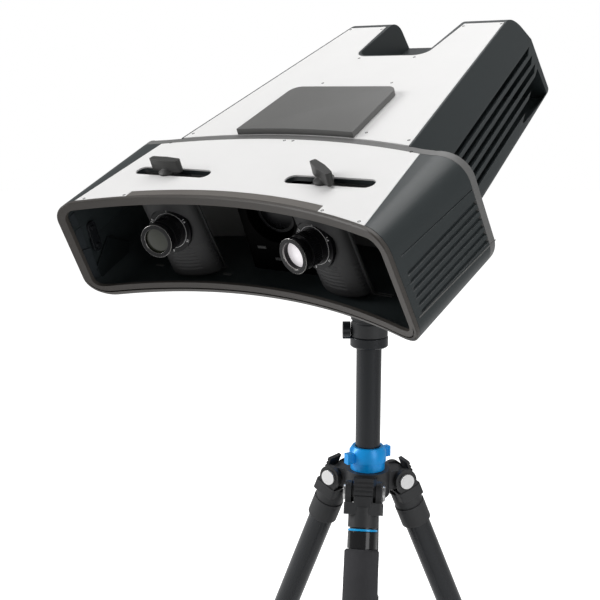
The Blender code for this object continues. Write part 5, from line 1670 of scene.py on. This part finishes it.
def make_screws():
    """Small socket screws in the white plates."""
    made = []
    radius = screw_radius
    for u, v in screw_places:
        for side in (-1, 1):
            head = lathe_mesh([
                (0.0, -radius / 3), (radius / 2, -radius / 3), (radius / 2, print_lift),
                (radius * screw_rim, print_lift), (radius, 0.0), (radius, -radius / 2)], small_steps)
            made.append(moved(head, Matrix.Translation((side * u, v, 0))))
    piece("plate_screws", merged(made), scanner_frame, "slot_black", body="scanner")


def wall_point(v, w, lift):
    """A point on the beam's left inner wall, lifted off it."""
    share = wall_first_share
    for _ in range(wall_rounds):
        u, _, out, rise = beam_half_outline(share)[2](w)
        near = beam_point(u, w, 0.0)[1]
        share = min(wall_last_share, max(0.0, (v - near) / (beam_point(u, w, 1.0)[1] - near)))
    wall = beam_wall + plate_thickness + gap * 2 + lift
    return (out * wall - u, v, w - rise * wall)


def wall_piece(name, corners, material):
    work = bmesh.new()
    low, high = ([work.verts.new(wall_point(v, w, lift)) for v, w in corners]
                 for lift in (-wall_lift, wall_lift))
    work.faces.new(low)
    work.faces.new(high)
    for i in range(len(corners)):
        work.faces.new((low[i - 1], low[i], high[i], high[i - 1]))
    piece(name, mesh_from(work), scanner_frame, material, body="scanner")


def make_beam_details():
    """Trim lines on the ribbed flanks, blocks on the inner walls and marks on the floor."""
    for side in (-1, 1):
        ends = []
        for share, drop in zip(trim_shares, trim_line):
            place = beam_point(*beam_half_outline(share)[2](-drop)[:2], share)
            ends.append((side * place[0], place[1], place[2]))
        piece("trim_line", rod_mesh(ends[0], ends[1], trim_radius, steps=small_steps), scanner_frame,
              "panel_grey", body="scanner")
    for corners in wall_quads:
        wall_piece("wall_quad", corners, "wall_panel")
    wall_piece("wall_patch", wall_patch, "wall_dim")
    floor = beam_wall - beam_height
    wide, deep, tall = mark_size
    for u, v in floor_marks:
        piece("floor_mark", box_mesh((u - wide / 2, v - deep / 2, floor - tall),
                                     (u + wide / 2, v + deep / 2, floor + tall), tall / 3),
              scanner_frame, "mark_grey", body="scanner")
    for u, w in face_marks:
        piece("face_mark", box_mesh((u - wide / 2, projector_front - tall, w - deep / 2),
                                    (u + wide / 2, projector_front + tall, w + deep / 2), tall / 3),
              scanner_frame, "mark_grey", body="scanner")
    for step in (0, foot_line_step):
        ends = [(u, v + step, floor + tall / 2) for u, v in foot_line]
        piece("foot_line", rod_mesh(*ends, tall / 2, steps=small_steps), scanner_frame, "mark_grey",
              body="scanner")


def number_mesh(text):
    curve = bpy.data.curves.new("number", "FONT")
    curve.body = text
    curve.size = number_size
    curve.align_x = "CENTER"
    curve.align_y = "CENTER"
    curve.extrude = print_lift
    return curve_mesh(curve)


def make_scale(name, lens):
    """The printed ring and numbers on a lens's flange, and the bright rims of its mouth."""
    body = body_of_node[name + "_lens_barrel"]
    face = -lens_flange_setback
    turned(name + "_print_ring", [
        (print_ring + print_width, face + print_lift), (print_ring + print_width, face - print_lift),
        (print_ring, face - print_lift), (print_ring, face + print_lift)], lens, "print_white",
        closed=True, body=body)
    numbers = []
    for i, text in enumerate(scale_numbers):
        turn = math.tau * i / len(scale_numbers) + scale_start
        numbers.append(moved(number_mesh(text), Matrix.Rotation(turn, 4, "Z"),
                             Matrix.Translation((0, number_reach, face + print_lift))))
    piece(name + "_numbers", merged(numbers), lens, "print_white", body=body)
    lip = rim_width / 3
    for radius in (lens_radius - rim_width + lip, lens_mouth_radius - lip):
        turned(name + "_rim", [
            (radius + rim_width, -lip), (radius + rim_width, -rim_width * 2), (radius, -rim_width * 2),
            (radius, -rim_width), (radius + lip, -lip)], lens, "lens_rim", closed=True, body=body)


def make_crest(leg, number):
    """The bare plate on the front of a casting."""
    deep = casting_half_depth
    top, low = (-height for height in crest_span)
    outline = [(-crest_half[1], low), (crest_half[1], low), (crest_half[0], top), (-crest_half[0], top)]
    piece("crest" + number, along_mesh([outline], deep - casting_shoulder * 3, deep + crest_rise), leg,
          "cast_black", body=body_of_node["leg_casting" + number], soft=crest_rise)


def make_bands(leg):
    """The bright ring and the gloss ring round the top of the front leg."""
    top, low = (-height for height in leg_collar)
    radius = leg_collar_radius + band_lift
    body = body_of_node["upper_leg_tube_1"]
    for name, start, end, material in (
            ("blue_band", top, top - leg_collar_band, "blue_bright"),
            ("gloss_band", top - leg_collar_band * band_step, low, "gloss_black")):
        turned(name, [(radius, start), (radius, end), (radius - band_lift * 3, end),
                      (radius - band_lift * 3, start)], leg, material, leg_steps, closed=True, body=body)


floor_reach = pivot_radius + foot_centre
floor_cutter = tool("floor_cut", box_mesh((-floor_reach, -floor_reach, -foot_radius),
                                          (floor_reach, floor_reach, 0)), stand)


# Lights, floor, camera
camera_place = (0.5938, -0.6105, 0.3812)
camera_right = (0.815, 0.5272, -0.2406)
camera_down = (0.1131, -0.5521, -0.8261)
camera_lens = 63.0
camera_sensor = 36.0
camera_near = 0.01
floor_radius = 9.0
floor_steps = 96
floor_scale = 3.0
floor_shade = (0.88, 0.92)
floor_glow = 0.82
ambient_level = 0.26
gloss_level = 0.30
# Each light's place, target, size and power
light_table = {
    "key": ((-2.6, -1.3, 2.0), (0, -0.1, 0.75), (1.2, 1.6), 66),
    "side": ((2.4, -0.6, 1.4), (0, 0, 0.7), (1.2, 1.8), 18),
    "top": ((0.0, 0.6, 3.0), (0, 0, 0.8), (2.0, 2.0), 36),
}


def make_camera():
    """The camera at the photograph's place, given in the scanner's own frame."""
    data = bpy.data.cameras.new("camera")
    data.lens = camera_lens
    data.sensor_width = camera_sensor
    data.clip_start = camera_near
    right = Vector(camera_right).normalized()
    up = -Vector(camera_down)
    up = (up - right * up.dot(right)).normalized()
    back = right.cross(up)
    turn = Matrix((right, up, back)).transposed().to_4x4()
    made = bpy.data.objects.new("camera", data)
    made.matrix_world = scanner_frame @ Matrix.Translation(camera_place) @ turn
    bpy.context.scene.collection.objects.link(made)
    bpy.context.scene.camera = made


def make_light(name, place, target, size, power):
    data = bpy.data.lights.new(name, "AREA")
    data.shape = "RECTANGLE"
    data.size, data.size_y = size
    data.energy = power
    made = bpy.data.objects.new(name, data)
    made.location = place
    made.rotation_euler = (Vector(target) - Vector(place)).to_track_quat("-Z", "Y").to_euler()
    bpy.context.scene.collection.objects.link(made)


def make_stage():
    """A pale floor that keeps the shadow, and a white surround."""
    work = bmesh.new()
    bmesh.ops.create_circle(work, cap_ends=True, radius=floor_radius, segments=floor_steps)
    mesh = bpy.data.meshes.new("floor")
    work.to_mesh(mesh)
    work.free()
    floor = bpy.data.objects.new("floor", mesh)
    bpy.context.scene.collection.objects.link(floor)
    material = bpy.data.materials.new("floor")
    material.use_nodes = True
    tree = material.node_tree
    tree.nodes.remove(tree.nodes["Principled BSDF"])
    output = tree.nodes["Material Output"]
    place = linked(tree, "ShaderNodeTexCoord").outputs["Object"]
    cloud = linked(tree, "ShaderNodeTexNoise", Vector=place, Scale=floor_scale, Detail=3.0)
    shade = ranged(tree, cloud.outputs["Fac"], *floor_shade)
    paint = linked(tree, "ShaderNodeBsdfDiffuse")
    tree.links.new(shade, paint.inputs["Color"])
    ray = linked(tree, "ShaderNodeLightPath")
    level = math_node(tree, "MULTIPLY", ray.outputs["Is Camera Ray"], floor_glow)
    glow = linked(tree, "ShaderNodeEmission", Color=(1, 1, 1, 1), Strength=level)
    both = linked(tree, "ShaderNodeAddShader")
    tree.links.new(paint.outputs[0], both.inputs[0])
    tree.links.new(glow.outputs[0], both.inputs[1])
    tree.links.new(both.outputs[0], output.inputs["Surface"])
    mesh.materials.append(material)
    world = bpy.data.worlds.new("surround")
    world.use_nodes = True
    bpy.context.scene.world = world
    tree = world.node_tree
    for node in list(tree.nodes):
        tree.nodes.remove(node)
    output = linked(tree, "ShaderNodeOutputWorld")
    ray = linked(tree, "ShaderNodeLightPath")
    fill = ranged(tree, ray.outputs["Is Glossy Ray"], ambient_level, gloss_level)
    seen = math_node(tree, "MAXIMUM", ray.outputs["Is Camera Ray"], ray.outputs["Is Transmission Ray"])
    level = math_node(tree, "MAXIMUM", seen, fill)
    sky = linked(tree, "ShaderNodeBackground", Color=(1, 1, 1, 1), Strength=level)
    tree.links.new(sky.outputs[0], output.inputs["Surface"])



make_beam()
make_pod(-1, "left", hub_left, lever_turn_left)
make_pod(1, "right", hub_right, lever_turn_right)
make_projector()
make_side_plate()
make_rear_body()
make_raised_panel()
make_screws()
make_beam_details()
make_head()
make_column()
make_spider()
for leg_number, leg_azimuth in enumerate(leg_azimuths, 1):
    make_leg(leg_number, leg_azimuth)

bpy.context.view_layer.update()
for made in made_pieces:
    bake(made)
    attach(made, made["body"])
    if made["node"]:
        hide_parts(made["node"])
for old in list(spare.objects):
    bpy.data.objects.remove(old, do_unlink=True)

make_camera()
make_stage()
for light_name, light_facts in light_table.items():
    make_light(light_name, *light_facts)
bpy.context.scene.view_settings.view_transform = "Standard"
